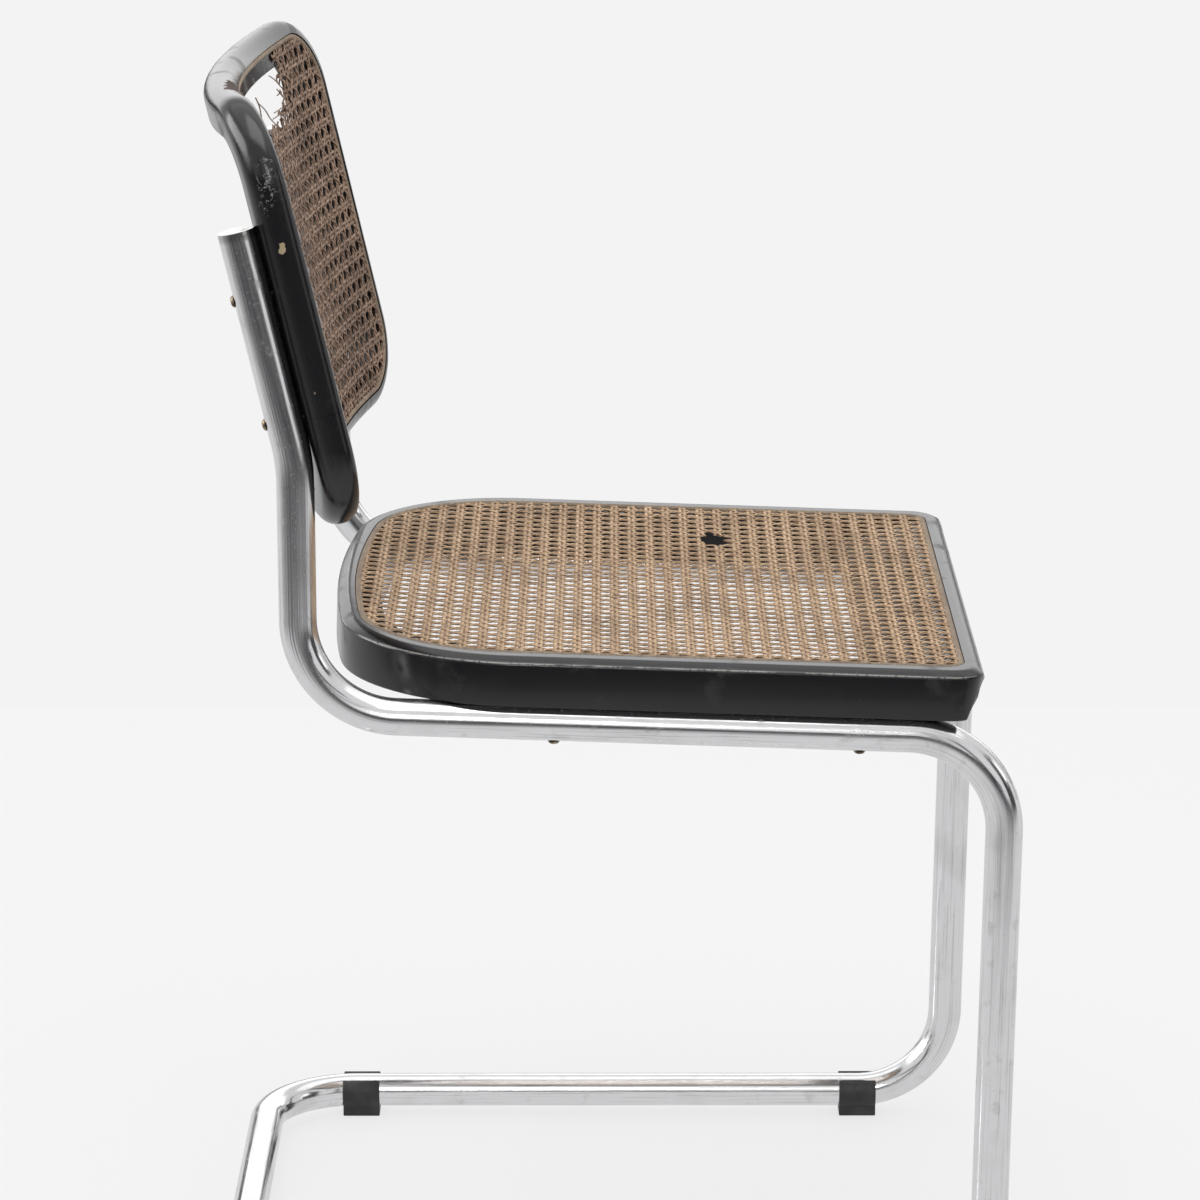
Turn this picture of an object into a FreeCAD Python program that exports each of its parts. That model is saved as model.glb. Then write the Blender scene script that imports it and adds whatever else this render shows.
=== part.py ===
"""Cantilever side chair: one bent steel tube that carries a caned seat and a caned back.

The chair stands on z = 0, faces -Y and is centred on x = 0. While it is built, the floor crossbar's
centre line is on y = 0 and z = 0; the finished pieces are moved together to their place on the floor.
Lengths are in millimetres and angles in degrees.
"""
import FreeCAD, Part
import math
import os
from FreeCAD import Placement, Rotation, Vector

# Tube frame, one continuous chromed tube, measured on its centre line
tube_diameter = 25.0
tube_wall = 2.0
tube_bore_sides = 6
frame_spacing = 440.0
bend_radius = 67.0
upright_setback = 55.0
rail_height = 427.5
rail_slope = 2.0
rail_reach = 525.0
leg_foot_reach = 518.0
lean_height = 598.0
lean_angle = 13.0
lean_length = 156.0
lean_bend_radius = 130.0
bend_step = 15.0

# Caps in the upper ends of the tube
cap_thickness = 2.0
cap_spigot_length = 12.0
cap_clearance = 0.1

# Floor glides clipped on the runners
glide_length = 28.0
glide_wall = 2.8
glide_sole_width = 22.0
glide_sole_depth = 5.5
glide_mouth_angle = 84.0
glide_clearance = 0.1
glide_bore_sides = 16
glide_peg_diameter = 5.0
glide_peg_length = 8.0
glide_peg_clearance = 0.2
front_glide_reach = 452.0
rear_glide_reach = 69.0

# Seat frame of bent wood, in plan and in section
seat_overhang = 13.5
seat_rear_reach = 69.5
seat_front_reach = 509.0
seat_thickness = 34.0
seat_rear_arc_radius = 1100.0
seat_rear_corner_radius = 118.0
seat_front_corner_radius = 24.0
seat_side_rail_width = 34.0
seat_rear_rail_width = 30.0
seat_front_rail_width = 75.0
seat_window_corner_radius = 8.0
seat_top_edge_radius = 8.0
seat_bottom_edge_bevel = 3.0
seat_front_undercut = 11.0
seat_front_scoop = 9.0
seat_side_land = 17.0
seat_front_land = 13.0
seat_rear_land = 12.0
seat_groove_front_corner_radius = 14.0

# Dowels between the seat's front rail and the ends of its bent rim
dowel_diameter = 8.0
dowel_length = 36.0
dowel_spacing = 40.0

# Back frame of bent wood, an oval-cornered ring bent round an upright axis
back_overhang = 13.0
back_drop = 55.0
back_rise = 238.0
back_thickness = 24.0
back_rail_width = 27.0
back_corner_radius = 57.0
back_bend_depth = 38.0
back_front_edge_bevel = 5.0
back_rear_edge_bevel = 6.0
back_land = 11.0
back_joint_height = 28.0
back_tongue_length = 24.0
back_tongue_thickness = 9.0

# Woven cane panels and the reed splines that hold them in their grooves
cane_thickness = 2.0
cane_pitch = 50.0
cane_gap = 32.0
cane_gap_sides = 4
cane_edge_thickness = 1.2
groove_width = 5.0
groove_depth = 7.0
spline_height = 5.0
spline_side_clearance = 0.1

# Screws through the tube into the wood
screw_diameter = 4.0
screw_head_diameter = 8.0
screw_head_height = 2.4
screw_grip = 14.0
screw_tube_clearance = 0.5
seat_screw_reaches = [224.0, 427.0]
back_screw_heights = [29.0, 113.0]

# Sizes worked out from the ones above
tube_radius = tube_diameter / 2
side_x = frame_spacing / 2
seat_width = frame_spacing + 2 * seat_overhang
back_width = frame_spacing + 2 * back_overhang
sides = {"right": -1, "left": 1}
floor_height = -(tube_radius + glide_sole_depth)


def rail_height_at(reach):
    """Height of the seat rail's centre line, above the runners' centre line."""
    return rail_height - (reach - upright_setback) * math.tan(math.radians(rail_slope))


def lean_point(along, out=0.0):
    """A point of a leaning upright: its distance up the lean and out to the front, as (reach, height)."""
    lean = math.radians(lean_angle)
    reach = upright_setback - along * math.sin(lean) + out * math.cos(lean)
    height = lean_height + along * math.cos(lean) + out * math.sin(lean)
    return reach, height


def at(x, reach, height):
    """A point from its place across, its reach in front of the crossbar and its height."""
    return Vector(x, -reach, height)


# Bent paths and sweeps

def rounded_path(points, radii):
    """Edges of straight runs through the points, with an arc of the given radius at each inner one."""
    edges = []
    start = points[0]
    for before, corner, after, radius in zip(points, points[1:], points[2:], radii):
        back = (before - corner).normalize()
        ahead = (after - corner).normalize()
        half = back.getAngle(ahead) / 2
        to_tangent = radius / math.tan(half)
        middle = (back + ahead).normalize()
        arc_middle = corner + middle * (radius / math.sin(half) - radius)
        arc_start = corner + back * to_tangent
        arc_end = corner + ahead * to_tangent
        edges.append(Part.LineSegment(start, arc_start).toShape())
        edges.append(Part.Arc(arc_start, arc_middle, arc_end).toShape())
        start = arc_end
    edges.append(Part.LineSegment(start, points[-1]).toShape())
    return edges


def frame_path():
    """Edges of the tube's centre line, from the top of the right upright round the floor to the left."""
    half = [
        lean_point(lean_length),
        lean_point(0),
        (upright_setback, rail_height),
        (rail_reach, rail_height_at(rail_reach)),
        (leg_foot_reach, 0),
        (0, 0),
    ]
    right = [at(-side_x, reach, height) for reach, height in half]
    left = [at(side_x, reach, height) for reach, height in reversed(half)]
    turns = [lean_bend_radius] + [bend_radius] * 8 + [lean_bend_radius]
    return rounded_path(right + left, turns)


def frame_bar(section):
    """A bar along the frame: prisms on the straight runs, and bends ruled between turned sections."""
    wire = section.copy()
    wire.Placement = Placement(at(-side_x, *lean_point(lean_length)), Rotation(Vector(1, 0, 0), -lean_angle))
    runs = []
    for edge in frame_path():
        first, last = edge.FirstParameter, edge.LastParameter
        if edge.Curve.TypeId == "Part::GeomCircle":
            axis = edge.tangentAt(first).cross(edge.tangentAt(last))
            turn = math.degrees(edge.Length / edge.Curve.Radius)
            steps = math.ceil(turn / bend_step)
            wires = [wire]
            for step in range(steps):
                wires.append(wires[-1].copy())
                wires[-1].rotate(edge.Curve.Center, axis, turn / steps)
            runs.append(Part.makeLoft(wires, True, True))
            wire = wires[-1]
        else:
            run = edge.valueAt(last) - edge.valueAt(first)
            runs.append(Part.Face(wire).extrude(run))
            wire = wire.copy()
            wire.translate(run)
    return runs[0].fuse(runs[1:])


def round_section(radius):
    """A circle round the z axis."""
    return Part.Wire(Part.makeCircle(radius))


def bore_inner_radius():
    """Radius inside the bore's flat sides, which enclose the area of the round bore they stand for."""
    half_turn = math.pi / tube_bore_sides
    return (tube_radius - tube_wall) * math.sqrt(half_turn / math.tan(half_turn))


def polygon_section(inner_radius, count):
    """A regular polygon round a circle on the z axis."""
    reach = inner_radius / math.cos(math.pi / count)
    corners = []
    for step in range(count):
        angle = (step + 0.5) * 2 * math.pi / count
        corners.append(Vector(reach * math.cos(angle), reach * math.sin(angle), 0))
    return Part.makePolygon(corners + corners[:1])


# Places of the two wooden frames, each drawn in a frame of its own

def seat_place():
    """From the seat's own frame, flat with z = 0 on its underside, to the slope of the rails."""
    slope = math.radians(rail_slope)
    rise = tube_radius / math.cos(slope)
    return Placement(at(0, upright_setback, rail_height + rise), Rotation(Vector(1, 0, 0), rail_slope))


def seat_y(reach):
    """The seat's own y for a reach in front of the crossbar."""
    return -(reach - upright_setback)


def back_place():
    """From the back's own frame, upright with y = 0 on the middle of the tubes, to the lean."""
    return Placement(at(0, *lean_point(0)), Rotation(Vector(1, 0, 0), -lean_angle))


# Plan outlines of the seat

def seat_outline(side, rear, front, rear_corner, front_corner, rear_arc, z):
    """A D-shaped outline: straight sides and front, a gently curved rear, and four round corners."""
    centre = rear - rear_arc
    corner_x = side - rear_corner
    corner_y = centre + math.sqrt((rear_arc - rear_corner) ** 2 - corner_x ** 2)
    outward = Vector(corner_x, corner_y - centre, 0).normalize()
    rear_end = Vector(0, centre, 0) + outward * rear_arc
    corner = Vector(corner_x, corner_y, 0)
    corner_middle = corner + (outward + Vector(1, 0, 0)).normalize() * rear_corner
    front_centre = Vector(side - front_corner, front + front_corner, 0)
    front_middle = front_centre + Vector(1, -1, 0).normalize() * front_corner

    def put(point, sign=1):
        return Vector(point.x * sign, point.y, z)

    side_rear = Vector(side, corner_y, 0)
    side_front = Vector(side, front + front_corner, 0)
    front_side = Vector(side - front_corner, front, 0)
    return Part.Wire([
        Part.Arc(put(rear_end, -1), Vector(0, rear, z), put(rear_end)).toShape(),
        Part.Arc(put(rear_end), put(corner_middle), put(side_rear)).toShape(),
        Part.LineSegment(put(side_rear), put(side_front)).toShape(),
        Part.Arc(put(side_front), put(front_middle), put(front_side)).toShape(),
        Part.LineSegment(put(front_side), put(front_side, -1)).toShape(),
        Part.Arc(put(front_side, -1), put(front_middle, -1), put(side_front, -1)).toShape(),
        Part.LineSegment(put(side_front, -1), put(side_rear, -1)).toShape(),
        Part.Arc(put(side_rear, -1), put(corner_middle, -1), put(rear_end, -1)).toShape(),
    ])


def seat_prism(inset_side, inset_rear, inset_front, bottom, top, front_corner=None):
    """An upright prism on the seat's outline, drawn in by its own amount at sides, rear and front."""
    rear_corner = seat_rear_corner_radius - (inset_side + inset_rear) / 2
    if front_corner is None:
        front_corner = seat_front_corner_radius
    outline = seat_outline(
        seat_width / 2 - inset_side,
        seat_y(seat_rear_reach + inset_rear),
        seat_y(seat_front_reach - inset_front),
        rear_corner,
        front_corner,
        seat_rear_arc_radius - inset_rear,
        bottom,
    )
    return Part.Face(outline).extrude(Vector(0, 0, top - bottom))


def seat_groove_prism(inset, bottom, top):
    """The prism inside the seat's groove line, drawn in further by the given inset."""
    return seat_prism(
        seat_side_land + inset,
        seat_rear_land + inset,
        seat_front_land + inset,
        bottom,
        top,
        seat_groove_front_corner_radius - inset,
    )


def side_profile_prism(points, half_width):
    """A prism across the chair on a side outline, given as (y, z) points."""
    corners = [Vector(-half_width, y, z) for y, z in points]
    face = Part.Face(Part.makePolygon(corners + corners[:1]))
    return face.extrude(Vector(2 * half_width, 0, 0))


def edges_where(shape, test):
    """The shape's edges whose middle passes a test on its place."""
    chosen = []
    for edge in shape.Edges:
        middle = edge.valueAt((edge.FirstParameter + edge.LastParameter) / 2)
        if test(middle):
            chosen.append(edge)
    return chosen


# Seat

def seat_blank():
    """The whole seat frame before it is divided: rounded rim, undercut front, window, scoop and groove."""
    top = seat_thickness
    front = seat_y(seat_front_reach)
    body = seat_prism(0, 0, 0, 0, top)
    upper_edges = edges_where(body, lambda middle: abs(middle.z - top) < 0.01)
    body = body.makeFillet(seat_top_edge_radius, upper_edges)
    side_end = front + seat_front_corner_radius
    lower_edges = edges_where(body, lambda middle: abs(middle.z) < 0.01 and middle.y > side_end + 1)
    body = body.makeChamfer(seat_bottom_edge_bevel, lower_edges)
    wedge_top = top - seat_top_edge_radius
    wedge = side_profile_prism(
        [(front - 1, wedge_top), (front, wedge_top), (front + seat_front_undercut, 0),
         (front + seat_front_undercut, -1), (front - 1, -1)],
        seat_width,
    )
    body = body.cut(wedge)
    window = seat_prism(
        seat_side_rail_width,
        seat_rear_rail_width,
        seat_front_rail_width,
        -1,
        top + 1,
        seat_window_corner_radius,
    )
    body = body.cut(window)
    scoop_start = front + seat_front_land + groove_width + cane_edge_thickness
    scoop_end = front + seat_front_rail_width + 1
    scoop_half = seat_width / 2 - seat_side_rail_width
    scoop = side_profile_prism(
        [(scoop_start, top), (scoop_end, top), (scoop_end, top - seat_front_scoop - cane_thickness),
         (scoop_start, top - cane_thickness)],
        scoop_half,
    )
    body = body.cut(scoop)
    rebate = seat_groove_prism(groove_width, top - cane_thickness, top + 1)
    groove = seat_groove_prism(0, top - groove_depth, top + 1)
    groove = groove.cut(seat_groove_prism(groove_width, top - groove_depth - 1, top + 2))
    return body.cut(rebate).cut(groove)


def front_rail_space():
    """The space between the rim's two ends that the front rail fills."""
    half = seat_width / 2 - seat_side_rail_width
    front = seat_y(seat_front_reach)
    rear = front + seat_front_rail_width
    return Part.makeBox(2 * half, rear - front + 2, seat_thickness + 2, Vector(-half, front - 1, -1))


def dowels():
    """Two dowels across each joint of the front rail, at half the depth below the scoop."""
    half = seat_width / 2 - seat_side_rail_width
    middle_y = seat_y(seat_front_reach) + seat_front_rail_width / 2
    height = (seat_thickness - seat_front_scoop - groove_depth) / 2
    pins = []
    for sign in sides.values():
        for step in (-0.5, 0.5):
            start = Vector(sign * half - dowel_length / 2, middle_y + step * dowel_spacing, height)
            pins.append(Part.makeCylinder(dowel_diameter / 2, dowel_length, start, Vector(1, 0, 0)))
    return Part.makeCompound(pins)


def seat_cane():
    """The seat's panel: a flat net with a turned-down edge in the groove."""
    top = seat_thickness
    bottom = top - cane_thickness
    plate = seat_groove_prism(groove_width - cane_edge_thickness, bottom, top)
    plate = plate.cut(Part.makeCompound(cane_gaps(
        seat_width / 2 - seat_side_land - groove_width,
        seat_y(seat_front_reach - seat_front_land - groove_width),
        seat_y(seat_rear_reach + seat_rear_land + groove_width),
        lambda x, y: gap_prism(Vector(x, y, bottom - 1), Vector(1, 0, 0), Vector(0, 1, 0), cane_thickness + 2),
        inside_seat_cane,
    )))
    lip = seat_groove_prism(groove_width - cane_edge_thickness, top - groove_depth, bottom)
    lip = lip.cut(seat_groove_prism(groove_width, top - groove_depth - 1, bottom + 1))
    return plate.fuse(lip)


def inside_seat_cane(x, y):
    """Whether a whole gap round this place lies in the seat's panel, clear of its rear corners."""
    reach = cane_gap / 2 + cane_edge_thickness
    inset = groove_width + (seat_side_land + seat_rear_land) / 2
    radius = seat_rear_corner_radius - inset
    corner_x = seat_width / 2 - seat_side_land - groove_width - radius
    corner_y = seat_y(seat_rear_reach + seat_rear_land + groove_width) - radius
    if abs(x) < corner_x or y < corner_y:
        return True
    return math.hypot(abs(x) - corner_x, y - corner_y) < radius - reach


def gap_prism(centre, across, up, depth):
    """One gap of the weave, as a prism from its centre."""
    corners = []
    for point in polygon_section(cane_gap / 2, cane_gap_sides).Vertexes:
        corners.append(centre + across * point.X + up * point.Y)
    face = Part.Face(Part.makePolygon(corners + corners[:1]))
    return face.extrude(across.cross(up) * depth)


def cane_gaps(half_width, low, high, make, inside):
    """Rows and columns of gaps at the weave's pitch, centred on a panel, where a whole gap fits."""
    room = cane_gap / 2 + cane_edge_thickness
    columns = int((half_width - room) // cane_pitch)
    middle = (low + high) / 2
    rows = int(((high - low) / 2 - room) // cane_pitch)
    gaps = []
    for column in range(-columns, columns + 1):
        for row in range(-rows, rows + 1):
            x = column * cane_pitch
            y = middle + row * cane_pitch
            if inside(x, y):
                gaps.append(make(x, y))
    return gaps


def seat_spline():
    """The reed pressed into the seat's groove, beside the turned-down edge of the cane."""
    floor = seat_thickness - groove_depth
    ring = seat_groove_prism(spline_side_clearance, floor, floor + spline_height)
    inner = groove_width - cane_edge_thickness - spline_side_clearance
    return ring.cut(seat_groove_prism(inner, floor - 1, floor + spline_height + 1))


# Back

def back_arc_radius():
    """Radius of the back's front face in plan, from its width and the depth of its bend."""
    half = back_width / 2
    return (half ** 2 + back_bend_depth ** 2) / (2 * back_bend_depth)


def back_axis_y():
    """Place of the bend's upright axis, from the posts' rear faces resting on the round tubes."""
    reach = back_arc_radius() + back_thickness + tube_radius
    return -math.sqrt(reach ** 2 - side_x ** 2)


def back_depth():
    """A depth, front to rear, that clears the whole bent back on both sides of the tubes."""
    return 4 * (back_thickness + tube_radius + back_bend_depth)


def back_slab(depth_front, depth_rear):
    """A slab bent like the back, between two depths behind its front face, taller than the back."""
    radius = back_arc_radius()
    axis = Vector(0, back_axis_y(), -back_drop - 5)
    height = back_drop + back_rise + 10
    outer = Part.makeCylinder(radius + depth_rear, height, axis)
    return outer.cut(Part.makeCylinder(radius + depth_front, height, axis))


def back_outline_prism(inset):
    """A prism from front to rear on the back's outline, drawn in by the inset."""
    half = back_width / 2 - inset
    low = -back_drop + inset
    high = back_rise - inset
    radius = back_corner_radius - inset
    depth = back_depth()
    box = Part.makeBox(2 * half, depth, high - low, Vector(-half, -depth / 2, low))
    corners = edges_where(box, lambda middle: abs(abs(middle.x) - half) < 0.01 and abs(middle.y) < 0.01)
    return box.makeFillet(radius, corners)


def back_ring(inset_outer, inset_inner, depth_front, depth_rear):
    """A ring of the back between two insets of its outline and two depths behind its front face."""
    slab = back_slab(depth_front, depth_rear)
    ring = slab.common(back_outline_prism(inset_outer))
    return ring.cut(back_outline_prism(inset_inner))


def back_blank():
    """The whole back frame before it is divided: rounded outer edges, window, rebate and groove."""
    body = back_slab(0, back_thickness).common(back_outline_prism(0))

    def depth(middle):
        return math.hypot(middle.x, middle.y - back_axis_y()) - back_arc_radius()

    rear_edges = edges_where(body, lambda middle: abs(depth(middle) - back_thickness) < 0.01)
    body = body.makeChamfer(back_rear_edge_bevel, rear_edges)
    front_edges = edges_where(body, lambda middle: abs(depth(middle)) < 0.01)
    body = body.makeChamfer(back_front_edge_bevel, front_edges)
    body = body.cut(back_outline_prism(back_rail_width))
    body = body.cut(back_slab(-1, cane_thickness).common(back_outline_prism(back_land + groove_width)))
    return body.cut(back_ring(back_land, back_land + groove_width, -1, groove_depth))


def lower_part_space():
    """The space of the back's lower part: below the joint, with a tongue up the middle of each post."""
    reach = back_width
    low = Part.makeBox(2 * reach, 2 * reach, back_drop + back_joint_height, Vector(-reach, -reach, -back_drop))
    slab = back_slab(
        (back_thickness - back_tongue_thickness) / 2,
        (back_thickness + back_tongue_thickness) / 2,
    )
    high = Part.makeBox(2 * reach, 2 * reach, back_tongue_length, Vector(-reach, -reach, back_joint_height))
    return low.fuse(slab.common(high))


def back_cane():
    """The back's panel: a bent net with a turned-in edge in the groove."""
    inset = back_land + groove_width - cane_edge_thickness
    plate = back_slab(0, cane_thickness).common(back_outline_prism(inset))
    depth = back_depth()
    gaps = cane_gaps(
        back_width / 2 - back_land - groove_width,
        -back_drop + back_land + groove_width,
        back_rise - back_land - groove_width,
        lambda x, z: gap_prism(Vector(x, depth / 2, z), Vector(1, 0, 0), Vector(0, 0, 1), depth),
        inside_back_cane,
    )
    plate = plate.cut(Part.makeCompound(gaps))
    lip = back_ring(inset, back_land + groove_width, cane_thickness, groove_depth)
    return plate.fuse(lip)


def inside_back_cane(x, z):
    """Whether a whole gap round this place lies in the back's panel, clear of its corners."""
    reach = cane_gap / 2 + cane_edge_thickness
    inset = back_land + groove_width
    radius = back_corner_radius - inset
    corner_x = back_width / 2 - inset - radius
    corner_z = (back_drop + back_rise) / 2 - inset - radius
    beyond_x = abs(x) - corner_x
    beyond_z = abs(z - (back_rise - back_drop) / 2) - corner_z
    if beyond_x < 0 or beyond_z < 0:
        return True
    return math.hypot(beyond_x, beyond_z) < radius - reach


def back_spline():
    """The reed pressed into the back's groove, beside the turned-in edge of the cane."""
    outer = back_land + spline_side_clearance
    inner = back_land + groove_width - cane_edge_thickness - spline_side_clearance
    return back_ring(outer, inner, groove_depth - spline_height, groove_depth)


# Small parts

def end_cap(sign):
    """A plug for an upright's open end: a disc on a spigot."""
    disc = Part.makeCylinder(tube_radius, cap_thickness)
    bore = bore_inner_radius() - cap_clearance
    spigot = Part.makeCylinder(bore, cap_spigot_length, Vector(0, 0, -cap_spigot_length))
    cap = disc.fuse(spigot)
    end = at(sign * side_x, *lean_point(lean_length))
    cap.Placement = Placement(end, Rotation(Vector(1, 0, 0), -lean_angle))
    return cap


def glide(sign, reach, tube_space):
    """A clip with a flat sole: it wraps the runner from below, open on top, with a peg into the tube."""
    outer_radius = tube_radius + glide_wall
    start = Vector(0, -glide_length / 2, 0)
    barrel = Part.makeCylinder(outer_radius, glide_length, start, Vector(0, 1, 0))
    sole = Part.makeBox(
        glide_sole_width,
        glide_length,
        -floor_height,
        Vector(-glide_sole_width / 2, -glide_length / 2, floor_height),
    )
    body = barrel.fuse(sole).removeSplitter()
    spread = 2 * outer_radius * math.tan(math.radians(glide_mouth_angle / 2))
    mouth_corners = [
        Vector(0, -glide_length, 0),
        Vector(spread, -glide_length, 2 * outer_radius),
        Vector(-spread, -glide_length, 2 * outer_radius),
    ]
    mouth = Part.Face(Part.makePolygon(mouth_corners + mouth_corners[:1]))
    body = body.cut(mouth.extrude(Vector(0, 2 * glide_length, 0)))
    body.translate(at(sign * side_x, reach, 0))
    body = body.cut(tube_space)
    return body.fuse(glide_peg(sign, reach, glide_peg_diameter / 2))


def glide_peg(sign, reach, radius):
    """A peg from a glide's sole up through the underside of the tube."""
    base = at(sign * side_x, reach, floor_height + 1)
    return Part.makeCylinder(radius, glide_peg_length, base)


def screw(length):
    """A screw along +Z, with z = 0 under its head."""
    head = Part.makeCylinder(screw_head_diameter / 2, screw_head_height, Vector(0, 0, -screw_head_height))
    return head.fuse(Part.makeCylinder(screw_diameter / 2, length))


def seat_screw_places():
    """Group, head place and direction of each screw from under a rail up into the seat."""
    slope = math.radians(rail_slope)
    up = Vector(0, -math.sin(slope), math.cos(slope))
    for side, sign in sides.items():
        for reach in seat_screw_reaches:
            middle = at(sign * side_x, reach, rail_height_at(reach))
            yield "seat_screws_%s" % side, middle - up * tube_radius, up


def back_screw_places():
    """Group, head place and direction of each screw from behind an upright into the back."""
    lean = math.radians(lean_angle)
    forward = Vector(0, -math.cos(lean), math.sin(lean))
    for side, sign in sides.items():
        for along in back_screw_heights:
            head = at(sign * side_x, *lean_point(along, -tube_radius))
            yield "back_screws_%s" % side, head, forward


def set_along(shape, place, direction):
    """The shape moved to a place with its z axis turned to a direction."""
    moved = shape.copy()
    moved.Placement = Placement(place, Rotation(Vector(0, 0, 1), direction))
    return moved


# The whole chair

def build():
    """All pieces by name, with the crossbar's centre line on y = 0 and z = 0."""
    pieces = {}
    screw_length = tube_diameter + screw_grip
    screw_places = list(seat_screw_places()) + list(back_screw_places())
    groups = {}
    tube_hole = Part.makeCylinder((screw_diameter + screw_tube_clearance) / 2, tube_diameter + 2, Vector(0, 0, -1))
    screw_body = screw(screw_length)
    tube_holes = []
    for name, place, direction in screw_places:
        groups.setdefault(name, []).append(set_along(screw_body, place, direction))
        tube_holes.append(set_along(tube_hole, place, direction))
    for name, group in groups.items():
        pieces[name] = Part.makeCompound(group)
    screws = Part.makeCompound([pieces[name] for name in groups])

    tube_space = frame_bar(polygon_section(tube_radius + glide_clearance, glide_bore_sides))
    for name, reach in (("front", front_glide_reach), ("rear", rear_glide_reach)):
        for side, sign in sides.items():
            pieces["floor_glide_%s_%s" % (name, side)] = glide(sign, reach, tube_space)
            tube_holes.append(glide_peg(sign, reach, glide_peg_diameter / 2 + glide_peg_clearance))
    frame = frame_bar(round_section(tube_radius)).cut(frame_bar(polygon_section(bore_inner_radius(), tube_bore_sides)))
    pieces["frame_tube"] = frame.cut(Part.makeCompound(tube_holes))
    for side, sign in sides.items():
        pieces["tube_end_cap_%s" % side] = end_cap(sign)

    seat = seat_blank()
    space = front_rail_space()
    pins = dowels()
    seat_parts = {
        "seat_bent_rim": seat.cut(space).cut(pins),
        "seat_front_rail": seat.common(space).cut(pins),
        "seat_front_dowels": pins,
        "seat_cane": seat_cane(),
        "seat_spline": seat_spline(),
    }
    for name, shape in seat_parts.items():
        shape.Placement = seat_place().multiply(shape.Placement)
        pieces[name] = shape
    pieces["seat_bent_rim"] = pieces["seat_bent_rim"].cut(screws)

    back = back_blank()
    space = lower_part_space()
    back_parts = {
        "back_upper_frame": back.cut(space),
        "back_lower_rail": back.common(space),
        "back_cane": back_cane(),
        "back_spline": back_spline(),
    }
    for name, shape in back_parts.items():
        shape.Placement = back_place().multiply(shape.Placement)
        pieces[name] = shape
    for name in ("back_upper_frame", "back_lower_rail"):
        pieces[name] = pieces[name].cut(screws)
    return pieces


def main():
    """Build the chair, stand it on the floor in the middle of its own outline and write each piece."""
    os.makedirs("parts", exist_ok=True)
    pieces = build()
    extent = Part.makeCompound(list(pieces.values())).optimalBoundingBox(False, False)
    shift = Vector(0, -(extent.YMin + extent.YMax) / 2, -floor_height)
    for name, shape in pieces.items():
        shape.translate(shift)
        shape.exportStep("parts/%s.step" % name)
        print(name, len(shape.Solids), shape.isValid(), round(shape.Volume, 1))
    print("shift", shift, "extent", extent)


main()
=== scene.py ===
# %% [markdown]
# Cantilever side chair: a bent chromed tube, a lacquered seat and back, and woven cane.
# The frame comes first: the measured solids are loaded, and everything drawn here stands on them.

# %% Load the measured chair
import math

import bpy
import bmesh
from mathutils import Matrix, Vector


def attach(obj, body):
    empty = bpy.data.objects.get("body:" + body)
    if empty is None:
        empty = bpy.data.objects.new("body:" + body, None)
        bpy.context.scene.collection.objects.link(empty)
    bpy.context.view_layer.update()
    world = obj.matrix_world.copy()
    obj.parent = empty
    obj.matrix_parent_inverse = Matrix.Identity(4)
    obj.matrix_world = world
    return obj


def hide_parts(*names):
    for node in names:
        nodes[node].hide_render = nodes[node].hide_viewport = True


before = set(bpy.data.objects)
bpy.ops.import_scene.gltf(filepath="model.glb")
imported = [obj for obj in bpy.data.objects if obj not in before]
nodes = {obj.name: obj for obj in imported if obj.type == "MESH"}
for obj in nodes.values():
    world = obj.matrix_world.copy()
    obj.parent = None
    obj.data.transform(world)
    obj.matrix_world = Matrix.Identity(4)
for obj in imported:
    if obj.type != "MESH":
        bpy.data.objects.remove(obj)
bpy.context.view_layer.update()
scene = bpy.context.scene
MM = 0.001

# %% [markdown]
# A photographer picks the place first. This camera stands three metres beside the chair and looks
# down on it a little through a long lens, so that the near and far tubes lie close together.

# %% Camera
CAMERA_PLACE = (-3.27461, 0.00106, 1.31416)
CAMERA_YAW = 0.0015
CAMERA_PITCH = 0.2534
CAMERA_ROLL = 0.0011
CAMERA_LENS = 143.67
CAMERA_SENSOR = 36

forward = Vector((
    math.cos(CAMERA_YAW) * math.cos(CAMERA_PITCH),
    math.sin(CAMERA_YAW) * math.cos(CAMERA_PITCH),
    -math.sin(CAMERA_PITCH),
))
camera_data = bpy.data.cameras.new("camera")
camera_data.lens = CAMERA_LENS
camera_data.sensor_width = CAMERA_SENSOR
camera = bpy.data.objects.new("camera", camera_data)
camera.rotation_mode = "QUATERNION"
camera.location = CAMERA_PLACE
look = forward.to_track_quat("-Z", "Y")
roll = Matrix.Rotation(CAMERA_ROLL, 3, forward).to_quaternion()
camera.rotation_quaternion = roll @ look
scene.collection.objects.link(camera)
scene.camera = camera

# %% [markdown]
# The chair is drawn in side view first, as a bender would mark it out: how far each bend stands in
# front of the crossbar, and how high. These sizes are in millimetres.

# %% Sizes of the bent frame
TUBE_RADIUS = 12.5
SIDE_X = 220.0
BEND_RADIUS = 67.0
LEAN_BEND_RADIUS = 130.0
UPRIGHT_SETBACK = 55.0
RAIL_HEIGHT = 427.5
RAIL_SLOPE = math.radians(2)
RAIL_REACH = 525.0
LEG_FOOT_REACH = 518.0
LEAN_HEIGHT = 598.0
LEAN = math.radians(13)
LEAN_LENGTH = 156.0
FLOOR_SHIFT = Vector((0, 260.043, 18.0))
ARC_STEP = math.radians(2)


def at(x, reach, height):
    """A point across the chair, in front of the crossbar and above the runners, in metres."""
    return (Vector((x, -reach, height)) + FLOOR_SHIFT) * MM


def rail_height_at(reach):
    """Height of the seat rail's centre line."""
    return RAIL_HEIGHT - (reach - UPRIGHT_SETBACK) * math.tan(RAIL_SLOPE)


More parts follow.
